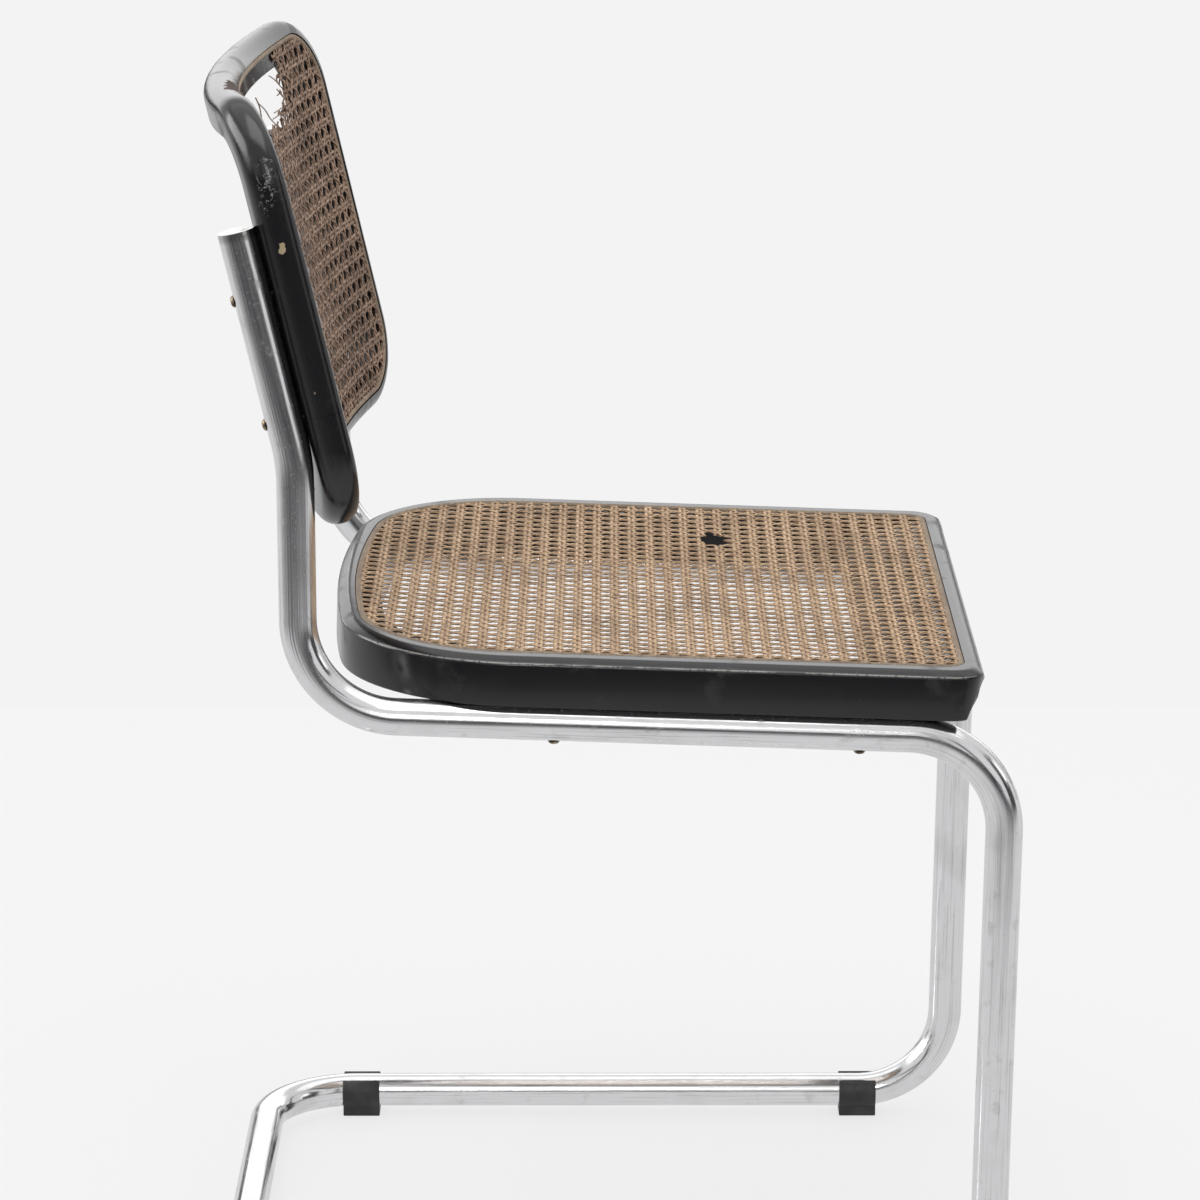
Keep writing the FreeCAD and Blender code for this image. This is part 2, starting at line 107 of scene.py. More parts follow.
def lean_point(along, out=0.0):
    """Reach and height of a place up a leaning upright and out to its front."""
    return (
        UPRIGHT_SETBACK - along * math.sin(LEAN) + out * math.cos(LEAN),
        LEAN_HEIGHT + along * math.cos(LEAN) + out * math.sin(LEAN),
    )


def rounded(points, radii):
    """Points along straight runs, with an arc of its own radius at each inner one."""
    made = [points[0]]
    for before, corner, after, radius in zip(points, points[1:], points[2:], radii):
        back = (before - corner).normalized()
        ahead = (after - corner).normalized()
        half = back.angle(ahead) / 2
        centre = corner + (back + ahead).normalized() * radius / math.sin(half)
        start = corner + back * radius / math.tan(half) - centre
        turn = math.pi - 2 * half
        axis = ahead.cross(back).normalized()
        count = max(4, round(turn / ARC_STEP))
        for k in range(count + 1):
            made.append(centre + Matrix.Rotation(turn * k / count, 3, axis) @ start)
    made.append(points[-1])
    return made


# %% [markdown]
# Node trees are easier to read as sums than as boxes and wires. The small class below wraps a
# socket, so that `a * b + 1` adds the Math nodes that it stands for.

# %% Sums that build nodes
class Value:
    """One number in a node tree. Sums with it add Math nodes."""

    def __init__(self, tree, socket):
        self.tree = tree
        self.socket = socket

    def math(self, operation, *others):
        """The result of a Math node with this value first."""
        inputs = dict(enumerate((self, *others)))
        return Value(self.tree, put(self.tree, "ShaderNodeMath", inputs, operation=operation))

    def __add__(self, other):
        return self.math("ADD", other)

    def __sub__(self, other):
        return self.math("SUBTRACT", other)

    def __rsub__(self, other):
        return (self * -1).math("ADD", other)

    def __mul__(self, other):
        return self.math("MULTIPLY", other)

    def __truediv__(self, other):
        return self.math("DIVIDE", other)

    def __gt__(self, other):
        return self.math("GREATER_THAN", other)

    def __lt__(self, other):
        return self.math("LESS_THAN", other)

    __radd__ = __add__

    def ramp(self, low, high):
        """0 below low, 1 above high, and a soft step between them."""
        inputs = {0: self, 1: low, 2: high}
        return Value(self.tree, put(self.tree, "ShaderNodeMapRange", inputs, interpolation_type="SMOOTHSTEP"))


def feed(tree, socket, value):
    """Give a socket a number, a colour or a link. A node stands for its first output."""
    if isinstance(value, Value):
        value = value.socket
    if isinstance(value, bpy.types.Node):
        value = value.outputs[0]
    if isinstance(value, bpy.types.NodeSocket):
        tree.links.new(value, socket)
    else:
        socket.default_value = value


def put(tree, kind, inputs=None, **settings):
    """Add a node of a kind, with its settings first and then its sockets."""
    node = tree.nodes.new(kind)
    for name, value in settings.items():
        setattr(node, name, value)
    for key, value in (inputs or {}).items():
        feed(tree, node.inputs[key], value)
    return node


# %% [markdown]
# A finish is a shader that reads the place on the object, so that it has no seams and needs no
# unwrapping. One helper starts each finish and gives it the few tools that all of them use.

# %% Start of a finish
class Finish:
    """A new material with its shader, and helpers for the patterns on it."""

    def __init__(self, name):
        self.material = bpy.data.materials.new(name)
        self.material.use_nodes = True
        self.tree = self.material.node_tree
        self.shader = self.tree.nodes["Principled BSDF"]
        self.place = self.put("TexCoord").outputs["Object"]

    def put(self, kind, inputs=None, **settings):
        """Add a shader node to the finish."""
        return put(self.tree, "ShaderNode" + kind, inputs, **settings)

    def noise(self, scale, detail=3.0, stretch=(1, 1, 1)):
        """Noise between about 0.2 and 0.8, at a number of bumps per metre."""
        mapping = self.put("Mapping", {"Vector": self.place, "Scale": stretch})
        node = self.put("TexNoise", {"Vector": mapping, "Scale": scale, "Detail": detail})
        return Value(self.tree, node.outputs["Fac"])

    def carried(self, name):
        """A number that the mesh carries under a name."""
        return Value(self.tree, self.put("Attribute", attribute_name=name).outputs["Fac"])

    def mix(self, factor, low, high):
        """A colour between two, by a factor."""
        return self.put("Mix", {0: factor, 6: low, 7: high}, data_type="RGBA").outputs[2]

    def near(self, places, soft):
        """The sum over places of 1 within each one's radius in millimetres, fading to 0."""
        total = 0
        for centre, radius in places:
            node = self.put("VectorMath", {0: self.place, 1: centre}, operation="DISTANCE")
            away = Value(self.tree, node.outputs["Value"])
            total = total + (1 - away.ramp(radius * MM - soft, radius * MM + soft))
        return total

    def axis(self, index):
        """One coordinate of the place on the object."""
        return Value(self.tree, self.put("SeparateXYZ", {0: self.place}).outputs[index])

    def bump(self, height, strength, distance):
        """Give the surface a fine relief from a height."""
        self.set("Normal", self.put("Bump", {
            "Height": height, "Strength": strength, "Distance": distance,
        }))

    def set(self, name, value):
        """Give one of the shader's own sockets a value."""
        feed(self.tree, self.shader.inputs[name], value)


# %% [markdown]
# The tube was plated with bright chrome that has dulled: faint mottling, small pits and fine streaks
# that run with the tube. The streaks also darken the colour, partly as polishing marks and partly as a
# painted reflection of dark lines along the tube, and the caps are painted darker as a painted reflection.
# Each point of the tube knows its place round the section and along the bends, so that the streaks
# can follow the bends as polishing marks do.

# %% Chrome
BRIGHT_CHROME = (0.80, 0.80, 0.81, 1)
DULL_CHROME_AND_PAINTED_REFLECTION = (0.33, 0.32, 0.30, 1)
STREAKS_ALONG = 1.6
CAP_DARKENED_RADIUS = 12.9
chrome = Finish("old_chrome")
round_section = chrome.put("SeparateXYZ", {
    0: chrome.put("Attribute", attribute_name="section").outputs["Vector"],
})
unrolled = chrome.put("CombineXYZ", {
    0: round_section.outputs[0], 1: round_section.outputs[1], 2: chrome.carried("along") * STREAKS_ALONG,
})
streaks = Value(chrome.tree, chrome.put("TexNoise", {
    "Vector": unrolled, "Scale": 7.0, "Detail": 4.0, "Roughness": 0.6,
}).outputs["Fac"])
haze = chrome.noise(22, 4)
blooms = chrome.noise(75, 5).ramp(0.58, 0.74)
pits = chrome.noise(1000, 2).ramp(0.68, 0.75)
cap_middles = [at(x, *lean_point(LEAN_LENGTH)) for x in (-SIDE_X, SIDE_X)]
on_caps = chrome.near([(middle, CAP_DARKENED_RADIUS) for middle in cap_middles], 0.6 * MM)
# Dark streaks in the colour: partly polishing marks, partly a painted reflection of dark lines along the
# tube.
dulling_and_painted_reflection = streaks.ramp(0.5, 0.7) * 0.35 + blooms * 0.2 + haze.ramp(0.45, 0.7) * 0.18 + pits * 0.5
# The caps are painted darker all over: a painted reflection that dims what they mirror.
dulling_and_painted_reflection = dulling_and_painted_reflection + on_caps * (0.6 + blooms * 0.3)
chrome.set("Base Color", chrome.mix(dulling_and_painted_reflection, BRIGHT_CHROME, DULL_CHROME_AND_PAINTED_REFLECTION))
chrome.set("Metallic", 1.0)
chrome.set("Roughness", 0.08 + haze * 0.1 + streaks.ramp(0.4, 0.7) * 0.1 + blooms * 0.12 + pits * 0.2)
chrome.bump(haze * 0.3 + streaks * 0.25 - pits * 0.3, 0.25, 0.0004)

# %% [markdown]
# The wood is beech under black lacquer. The brush left faint waves, and years of hands and floors
# left scuffs, a bright worn line along the seat's upper edge and chips down to the wood. Those
# places are given in the millimetres of the seat and the back, so both are set up first.

# %% Sizes of the seat and the back
SEAT_WIDTH = 467.0
SEAT_REAR_REACH = 69.5
SEAT_FRONT_REACH = 509.0
SEAT_TOP = 34.0
SEAT_REAR_CORNER = 118.0
SEAT_FRONT_CORNER = 24.0
SEAT_REAR_ARC = 1100.0
SEAT_UNDERCUT = 12.5
FRONT_ROLL = 9.0
BACK_WIDTH = 466.0
BACK_LOW = -55.0
BACK_HIGH = 238.0
BACK_CORNER = 57.0
BACK_JOINT = 28.0
BACK_BEND_DEPTH = 38.0
BACK_THICKNESS = 24.0
BACK_LAND = 11.0
GROOVE_WIDTH = 5.0
GROOVE_DEPTH = 7.0
CANE_THICKNESS = 2.0

seat_origin = at(0, UPRIGHT_SETBACK, RAIL_HEIGHT + TUBE_RADIUS / math.cos(RAIL_SLOPE))
seat_place = Matrix.Translation(seat_origin) @ Matrix.Rotation(RAIL_SLOPE, 4, "X")
back_place = Matrix.Translation(at(0, *lean_point(0))) @ Matrix.Rotation(-LEAN, 4, "X")
back_radius = ((BACK_WIDTH / 2) ** 2 + BACK_BEND_DEPTH ** 2) / (2 * BACK_BEND_DEPTH)
back_axis = -math.sqrt((back_radius + BACK_THICKNESS + TUBE_RADIUS) ** 2 - SIDE_X ** 2)


def on_seat(x, y, z):
    """A place on the seat, from millimetres across, rearwards and above its underside."""
    return seat_place @ (Vector((x, y, z)) * MM)


def on_back(x, height, depth):
    """A place on the bent back, from its width, its height up the lean and its depth behind the front."""
    y = back_axis + math.sqrt((back_radius + depth) ** 2 - x * x)
    return back_place @ (Vector((x, y, height)) * MM)


# %% Black lacquer
LACQUER_BLACK = (0.0065, 0.0065, 0.008, 1)
LACQUER_DUSTY = (0.022, 0.019, 0.018, 1)
WORN_GREY = (0.36, 0.34, 0.31, 1)
RUBBED_GREY = (0.30, 0.30, 0.31, 1)
CHIPPED_WOOD_DARK = (0.26, 0.19, 0.10, 1)
CHIPPED_WOOD_PALE = (0.42, 0.33, 0.20, 1)
STAINED_WOOD = (0.05, 0.028, 0.022, 1)
WORN_EDGE_HEIGHT = 30.2 * MM
WORN_EDGE_HALF = 0.55 * MM
RUBBED_PLACES = [
    (on_back(-233, 198, 11), 6.0), (on_back(-233, 186, 13), 8.0), (on_back(-233, 172, 15), 7.0),
    (on_back(233, 60, 10), 9.0),
]
CHIPPED_PLACES = [
    (on_back(-233, 143.6, 13.5), 2.0), (on_back(-233, 140.2, 14.4), 2.3), (on_back(-232, 45, 16), 0.9),
    (on_back(-206, -40, 1), 2.4), (on_back(233, 190, 8), 2.0),
    (on_seat(233.5, -300, 30), 2.6), (on_seat(-220, -446, 30), 2.2), (on_seat(120, -454, 29), 3.0),
    (on_seat(-233.5, -452, 4), 3.0),
]
BARE_PLACES = [(on_back(x, z, 1), 11.0) for x, z in ((-132, 233), (-116, 231), (-100, 229), (-86, 227))]
lacquer = Finish("black_lacquer")
waves = lacquer.noise(60, 3, (1, 0.25, 1))
fine = lacquer.noise(900, 3)
scuffed = lacquer.noise(34, 5).ramp(0.56, 0.74)
tone = lacquer.mix(scuffed * 0.6 + fine * 0.2, LACQUER_BLACK, LACQUER_DUSTY)

seat_height = ((lacquer.axis(2) - seat_origin.z) * math.cos(RAIL_SLOPE)
               - (lacquer.axis(1) - seat_origin.y) * math.sin(RAIL_SLOPE))
off_line = (seat_height - WORN_EDGE_HEIGHT).math("ABSOLUTE")
edge_line = 1 - off_line.ramp(WORN_EDGE_HALF * 0.3, WORN_EDGE_HALF)
edge_line = edge_line * lacquer.noise(28, 4).ramp(0.36, 0.5) * lacquer.noise(420, 2).ramp(0.3, 0.5)
tone = lacquer.mix(edge_line * 0.75, tone, WORN_GREY)

curls = 1 - (lacquer.noise(170, 3) - 0.5).math("ABSOLUTE").ramp(0.006, 0.03)
rubbed = lacquer.near(RUBBED_PLACES, 4 * MM).math("MINIMUM", 1.0)
rubbed = rubbed * curls * lacquer.noise(260, 3).ramp(0.42, 0.56)
tone = lacquer.mix(rubbed * 0.6, tone, RUBBED_GREY)

chipped = lacquer.near(CHIPPED_PLACES, 1.5 * MM)
chipped = (chipped + lacquer.noise(420, 3) * 1.8 - 1.0).ramp(0.35, 0.5)
wood_tone = lacquer.mix(lacquer.noise(200, 3, (1, 1, 0.2)), CHIPPED_WOOD_DARK, CHIPPED_WOOD_PALE)
tone = lacquer.mix(chipped, tone, wood_tone)

bare = lacquer.near(BARE_PLACES, 4 * MM).math("MINIMUM", 1.0)
bare = (bare + lacquer.noise(380, 3) * 0.9 - 0.5).ramp(0.3, 0.6)
tone = lacquer.mix(bare, tone, STAINED_WOOD)

worn = (chipped + bare + rubbed * 0.5).math("MINIMUM", 1.0)
lacquer.set("Base Color", tone)
lacquer.set("Roughness", 0.13 + scuffed * 0.24 + fine * 0.12 + worn * 0.35 + bare * 0.5)
lacquer.bump(waves * 0.5 + fine * 0.3 - worn * 1.2, 0.3, 0.0005)

# %% Plastic, reed, bare wood and screw metal
plastic = Finish("black_plastic")
plastic.set("Base Color", plastic.mix(
    plastic.noise(60, 4).ramp(0.4, 0.7), (0.014, 0.014, 0.015, 1), (0.035, 0.034, 0.033, 1)))
plastic.set("Roughness", 0.36 + plastic.noise(400, 3) * 0.25)
plastic.bump(plastic.noise(900, 2), 0.2, 0.0002)

REED_DARK = (0.17, 0.115, 0.07, 1)
REED_PALE = (0.36, 0.27, 0.18, 1)
REED_STAIN = (0.13, 0.085, 0.055, 1)
reed = Finish("aged_reed")
fibres = reed.noise(700, 3)
stains = reed.noise(40, 4).ramp(0.4, 0.65)
reed_tone = reed.mix(fibres.ramp(0.3, 0.7), REED_DARK, REED_PALE)
reed.set("Base Color", reed.mix(stains * 0.5, reed_tone, REED_STAIN))
reed.set("Roughness", 0.5 + fibres * 0.25)
reed.bump(fibres, 0.5, 0.0004)

WORN_BRASS = (0.36, 0.29, 0.20, 1)
TARNISHED = (0.10, 0.08, 0.06, 1)
SHANK_PAINTED_SHADE = (0.02, 0.018, 0.016, 1)
screw_metal = Finish("screw_metal")
tarnish = screw_metal.noise(300, 4).ramp(0.4, 0.65)
head_tone = screw_metal.mix(tarnish, WORN_BRASS, TARNISHED)
# Below the head the screw is painted near black: painted shade where the shank shows in the gap between tube
# and frame.
screw_metal.set("Base Color", screw_metal.mix(screw_metal.carried("shank"), head_tone, SHANK_PAINTED_SHADE))
screw_metal.set("Metallic", 1.0)
screw_metal.set("Roughness", 0.32 + tarnish * 0.3)

beech = Finish("bare_beech")
rings = beech.noise(90, 3, (0.15, 1, 1))
beech.set("Base Color", beech.mix(rings.ramp(0.3, 0.7), (0.45, 0.29, 0.15, 1), (0.62, 0.44, 0.26, 1)))
beech.set("Roughness", 0.55 + rings * 0.1)

# %% [markdown]
# Cane is the glossy skin of a climbing palm, split into flat strips. Each strip has its own tan, so
# the tree that lays the strips gives each a random number, and the finish turns it into a colour.
# The seat's cane is given pale tans, and the back's darker browns.

# %% Cane
CANE_IOR = 1.36


def cane_finish(name, dark, pale, grime_and_edge_shade):
    """Cane in strips of many tans between two, with grime in broad patches, and painted shade in the grime's
    colour along each strip's edge.
    """
    made = Finish(name)
    skin = made.noise(320, 4)
    grain = made.noise(1500, 2)
    patches = made.noise(20, 4).ramp(0.42, 0.7)
    tone = made.mix(made.carried("strip") * 0.4 + skin.ramp(0.3, 0.7) * 0.6, dark, pale)
    tone = made.mix(grain.ramp(0.55, 0.75) * 0.4, tone, grime_and_edge_shade)
    tone = made.mix(patches * 0.4, tone, grime_and_edge_shade)
    # Each strip's edges are darkened: painted shade between neighbouring strands.
    made.set("Base Color", made.mix(made.carried("edge").ramp(0.45, 1.0) * 0.75, tone, grime_and_edge_shade))
    made.set("Roughness", 0.38 + skin * 0.3)
    made.set("IOR", CANE_IOR)
    made.bump(skin * 0.6 + grain * 0.4, 0.4, 0.0003)
    return made.material


seat_tan = cane_finish(
    "seat_cane_skin", dark=(0.36, 0.215, 0.11, 1), pale=(0.82, 0.575, 0.36, 1), grime_and_edge_shade=(0.22, 0.13, 0.07, 1))
back_tan = cane_finish(
    "back_cane_skin", dark=(0.13, 0.075, 0.047, 1), pale=(0.49, 0.33, 0.235, 1), grime_and_edge_shade=(0.06, 0.033, 0.02, 1))


# %% [markdown]
# Each finished piece is a plain mesh that rides on the chair in the place of one of its measured
# solids, which is hidden, and takes its finish.

# %% Finishing a piece
WELD = 1e-6


def new_object(name, data):
    """An object in the scene from its mesh or curve."""
    made = bpy.data.objects.new(name, data)
    scene.collection.objects.link(made)
    return made


def object_from(name, work):
    """An object from mesh work that is done."""
    mesh = bpy.data.meshes.new(name)
    work.to_mesh(mesh)
    work.free()
    return new_object(name, mesh)


def box(name, size, place):
    """A box of a size, with its middle at a place."""
    work = bmesh.new()
    bmesh.ops.create_cube(work, size=1, matrix=Matrix.Translation(place) @ Matrix.Diagonal((*size, 1)))
    return object_from(name, work)


def applied(name, base):
    """The plain result of a base object's modifiers, in the base's stead."""
    bpy.context.view_layer.update()
    mesh = bpy.data.meshes.new_from_object(base.evaluated_get(bpy.context.evaluated_depsgraph_get()))
    mesh.name = name
    bpy.data.objects.remove(base)
    return new_object(name, mesh)


def shade_smooth(piece, sharp_over=None):
    """Shade a piece smooth, apart from edges that turn by more than some degrees."""
    piece.data.polygons.foreach_set("use_smooth", [True] * len(piece.data.polygons))
    if sharp_over is not None:
        piece.data.set_sharp_from_angle(angle=math.radians(sharp_over))


def finish_piece(piece, node, material=None):
    """Hang a piece on the chair in the place of a measured solid, and give it its finish."""
    if material is not None:
        piece.data.materials.clear()
        piece.data.materials.append(material)
    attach(piece, "root")
    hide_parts(node)


def smooth_copy(node, name, material):
    """A copy of a measured solid, welded and shaded smooth across its gentle edges."""
    mesh = nodes[node].data.copy()
    mesh.name = name
    work = bmesh.new()
    work.from_mesh(mesh)
    bmesh.ops.remove_doubles(work, verts=work.verts, dist=WELD)
    work.to_mesh(mesh)
    work.free()
    if "custom_normal" in mesh.attributes:
        mesh.attributes.remove(mesh.attributes["custom_normal"])
    piece = new_object(name, mesh)
    shade_smooth(piece, sharp_over=32)
    finish_piece(piece, node, material)


# %% [markdown]
# Wooden rails are skins over lines: each line runs along the rail at one place of its section, and
# all lines have the same number of points. Joined side by side they close round the rail.

# %% A skin over lines
def skinned(name, lines):
    """A closed bar over the lines of its section, with a flat face at each end."""
    work = bmesh.new()
    rows = [[work.verts.new(point) for point in line] for line in lines]
    for row, after in zip(rows, rows[1:] + rows[:1]):
        for k in range(len(row) - 1):
            work.faces.new((row[k], row[k + 1], after[k + 1], after[k]))
    for end in (0, -1):
        work.faces.new([row[end] for row in rows])
    bmesh.ops.remove_doubles(work, verts=work.verts, dist=WELD)
    bmesh.ops.dissolve_degenerate(work, edges=work.edges, dist=WELD / 10)
    bmesh.ops.recalc_face_normals(work, faces=work.faces)
    piece = object_from(name, work)
    shade_smooth(piece, sharp_over=34)
    return piece


# %% [markdown]
# Small node trees do the repeated work. The first draws an oval section along a path, for the tube,
# for the reeds in their grooves and for loose strands of cane.

# %% A tree that draws a section along a path
def new_tree(name, **labels):
    """An empty geometry tree, from its inputs' labels by kind, and the sockets that carry them."""
    tree = bpy.data.node_groups.new(name, "GeometryNodeTree")
    tree.interface.new_socket("Geometry", in_out="INPUT", socket_type="NodeSocketGeometry")
    for kind, names in {**labels, "Material": ["Finish"]}.items():
        for label in names:
            tree.interface.new_socket(label, in_out="INPUT", socket_type="NodeSocket" + kind)
    tree.interface.new_socket("Geometry", in_out="OUTPUT", socket_type="NodeSocketGeometry")
    return tree, put(tree, "NodeGroupInput").outputs


def vector(tree, x=0.0, y=0.0, z=0.0):
    """Three numbers of a tree as one vector."""
    return put(tree, "ShaderNodeCombineXYZ", {0: x, 1: y, 2: z})


def marked(tree, geometry, name, value, domain="POINT", data_type="FLOAT"):
    """The geometry with a value on its points or copies, under a name."""
    return put(tree, "GeometryNodeStoreNamedAttribute", {
        "Geometry": geometry, "Name": name, "Value": value,
    }, data_type=data_type, domain=domain)


def send_out(tree, geometry, finish):
    """Make copies real, give them the finish and end the tree."""
    plain = put(tree, "GeometryNodeRealizeInstances", {0: geometry})
    coated = put(tree, "GeometryNodeSetMaterial", {"Geometry": plain, "Material": finish})
    put(tree, "NodeGroupOutput", {0: coated})


def made_by(tree, name, base, values):
    """Run a tree on a base object with values by input name, and return the plain result."""
    modifier = base.modifiers.new("tree", "NODES")
    modifier.node_group = tree
    for item in tree.interface.items_tree:
        if item.name in values:
            modifier[item.identifier] = values[item.name]
    return applied(name, base)


bar_tree, given = new_tree("bar", Float=["Half Width", "Half Height"], Int=["Sides"])
unit_circle = put(bar_tree, "GeometryNodeCurvePrimitiveCircle", {"Resolution": given["Sides"], "Radius": 1.0})
marked_circle = marked(
    bar_tree, unit_circle, "section", put(bar_tree, "GeometryNodeInputPosition"), data_type="FLOAT_VECTOR")
section = put(bar_tree, "GeometryNodeTransform", {
    "Geometry": marked_circle, "Scale": vector(bar_tree, given["Half Width"], given["Half Height"], 1.0),
})
marked_path = marked(
    bar_tree, given["Geometry"], "along", put(bar_tree, "GeometryNodeSplineParameter").outputs["Length"])
bar = put(bar_tree, "GeometryNodeCurveToMesh", {
    "Curve": marked_path, "Profile Curve": section, "Fill Caps": True,
})
send_out(bar_tree, bar, given["Finish"])


def path_object(name, points, closed=False, kind="POLY"):
    """A curve object through the points, in straight steps or as one smooth line."""
    curve = bpy.data.curves.new(name, "CURVE")
    curve.dimensions = "3D"
    spline = curve.splines.new(kind)
    spline.points.add(len(points) - 1)
    for point, place in zip(spline.points, points):
        point.co = (*place, 1)
    spline.use_cyclic_u = closed
    if kind == "NURBS":
        spline.order_u = 3
        spline.use_endpoint_u = True
    return new_object(name, curve)


def drawn_bar(name, path, half_width, half_height, sides, material):
    """A bar along a path, its half sizes in millimetres."""
    return made_by(bar_tree, name, path, {
        "Half Width": half_width * MM, "Half Height": half_height * MM, "Sides": sides, "Finish": material,
    })


# %% [markdown]
# The second tree sets copies of one small piece at points, each turned to face the same way and then
# spun by chance, as slots of screws are.

# %% A tree that sets copies at points
copies_tree, given = new_tree(
    "set_copies", Object=["Copy"], Vector=["Direction"], Float=["Spin"], Int=["Seed"])
copied = put(copies_tree, "GeometryNodeObjectInfo", {"Object": given["Copy"]})
faced = put(copies_tree, "FunctionNodeAlignRotationToVector", {"Vector": given["Direction"]}, axis="Z")
placed = put(copies_tree, "GeometryNodeInstanceOnPoints", {
    "Points": given["Geometry"], "Instance": copied.outputs["Geometry"], "Rotation": faced,
})
chance = put(copies_tree, "FunctionNodeRandomValue", {"Seed": given["Seed"]})
spun = put(copies_tree, "GeometryNodeRotateInstances", {
    "Instances": placed, "Local Space": True,
    "Rotation": vector(copies_tree, z=Value(copies_tree, chance.outputs[1]) * given["Spin"]),
})
send_out(copies_tree, spun, given["Finish"])


def points_object(name, points):
    """A mesh of bare points."""
    mesh = bpy.data.meshes.new(name)
    mesh.from_pydata(points, [], [])
    return new_object(name, mesh)


# %% [markdown]
# The frame is one length of tube, from the top of one upright, under the seat, down the leg, back
# along the floor, across, and up the other side.

# %% The bent tube
TUBE_SIDES = 48
half_frame = [
    lean_point(LEAN_LENGTH),
    lean_point(0),
    (UPRIGHT_SETBACK, RAIL_HEIGHT),
    (RAIL_REACH, rail_height_at(RAIL_REACH)),
    (LEG_FOOT_REACH, 0),
    (0, 0),
]
corners = [at(-SIDE_X, *place) for place in half_frame]
corners += [at(SIDE_X, *place) for place in reversed(half_frame)]
radii = [r * MM for r in [LEAN_BEND_RADIUS] + [BEND_RADIUS] * 8 + [LEAN_BEND_RADIUS]]
tube_path = path_object("tube_path", rounded(corners, radii))
tube = drawn_bar("bent_tube", tube_path, TUBE_RADIUS, TUBE_RADIUS, TUBE_SIDES, chrome.material)
shade_smooth(tube, sharp_over=40)
finish_piece(tube, "frame_tube")

# %% Caps and dowels from the measured solids
for side in ("left", "right"):
    smooth_copy("tube_end_cap_" + side, "cap_" + side, chrome.material)
smooth_copy("seat_front_dowels", "dowels", beech.material)

# %% [markdown]
# A screw is turned from a half outline spun round its axis, and a thin box cuts the slot. A pair of
# screws comes up under each side of the seat, and a pair goes through each upright into the back.

# %% Screws
HEAD_RADIUS = 4.0
HEAD_HEIGHT = 2.4
SHANK_RADIUS = 1.2
SHANK_START = 0.5
SCREW_LENGTH = 39.0
SCREW_TIP = 3.0
SCREW_SIDES = 24
SLOT_WIDTH = 1.1
SLOT_DEPTH = 1.1
SEAT_SCREW_REACHES = (224.0, 427.0)
BACK_SCREW_HEIGHTS = (29.0, 113.0)


def turned_screw():
    """One slotted screw along +Z, with z = 0 under its head."""
    outline = [
        (0, -HEAD_HEIGHT), (1.6, -2.3), (2.8, -1.9), (3.6, -1.2), (HEAD_RADIUS, -0.5), (HEAD_RADIUS, 0),
        (SHANK_RADIUS, 0), (SHANK_RADIUS, 1), (SHANK_RADIUS, SCREW_LENGTH - SCREW_TIP), (0, SCREW_LENGTH),
    ]
    work = bmesh.new()
    verts = [work.verts.new((r * MM, 0, z * MM)) for r, z in outline]
    edges = [work.edges.new(pair) for pair in zip(verts, verts[1:])]
    bmesh.ops.spin(
        work, geom=verts + edges, cent=(0, 0, 0), axis=(0, 0, 1), angle=math.tau, steps=SCREW_SIDES)
    bmesh.ops.remove_doubles(work, verts=work.verts, dist=WELD)
    bmesh.ops.recalc_face_normals(work, faces=work.faces)
    blank = object_from("screw_blank", work)
    slot_size = (SLOT_WIDTH * MM, 4 * HEAD_RADIUS * MM, 2 * SLOT_DEPTH * MM)
    slot = box("slot", slot_size, (0, 0, -HEAD_HEIGHT * MM))
    cut = blank.modifiers.new("slot", "BOOLEAN")
    cut.operation = "DIFFERENCE"
    cut.object = slot
    screw = applied("one_screw", blank)
    bpy.data.objects.remove(slot)
    on_shank = screw.data.attributes.new("shank", "FLOAT", "POINT")
    on_shank.data.foreach_set("value", [float(v.co.z > SHANK_START * MM) for v in screw.data.vertices])
    return screw


one_screw = turned_screw()
up = Vector((0, -math.sin(RAIL_SLOPE), math.cos(RAIL_SLOPE)))
ahead = Vector((0, -math.cos(LEAN), math.sin(LEAN)))
for side, x in (("right", -SIDE_X), ("left", SIDE_X)):
    under_seat = [at(x, reach, rail_height_at(reach)) - up * TUBE_RADIUS * MM for reach in SEAT_SCREW_REACHES]
    behind_back = [at(x, *lean_point(height, -TUBE_RADIUS)) for height in BACK_SCREW_HEIGHTS]
    for where, heads, direction, seed in (("seat", under_seat, up, 3), ("back", behind_back, ahead, 8)):
        pair = made_by(copies_tree, "%s_screw_pair_%s" % (where, side), points_object("heads", heads), {
            "Copy": one_screw, "Direction": direction, "Spin": math.pi, "Seed": seed,
            "Finish": screw_metal.material,
        })
        shade_smooth(pair, sharp_over=30)
        finish_piece(pair, "%s_screws_%s" % (where, side))
bpy.data.objects.remove(one_screw)

# %% [markdown]
# A glide is a plastic clip with a flat sole. It is drawn as one outline across the runner, given its
# length, and its edges are eased with a Bevel, because a moulded part has no sharp ones.

# %% Glides
GLIDE_LENGTH = 28.0
GLIDE_RADIUS = 15.3
GLIDE_BORE = 12.55
GLIDE_SOLE = 11.0
GLIDE_FLOOR = 18.0
GLIDE_MOUTH = math.radians(43)
GLIDE_EASING = 0.7
GLIDE_EASED_OVER = math.radians(40)
GLIDE_REACHES = {"front": 452.0, "rear": 69.0}
OUTER_STEPS = 16
BORE_STEPS = 20


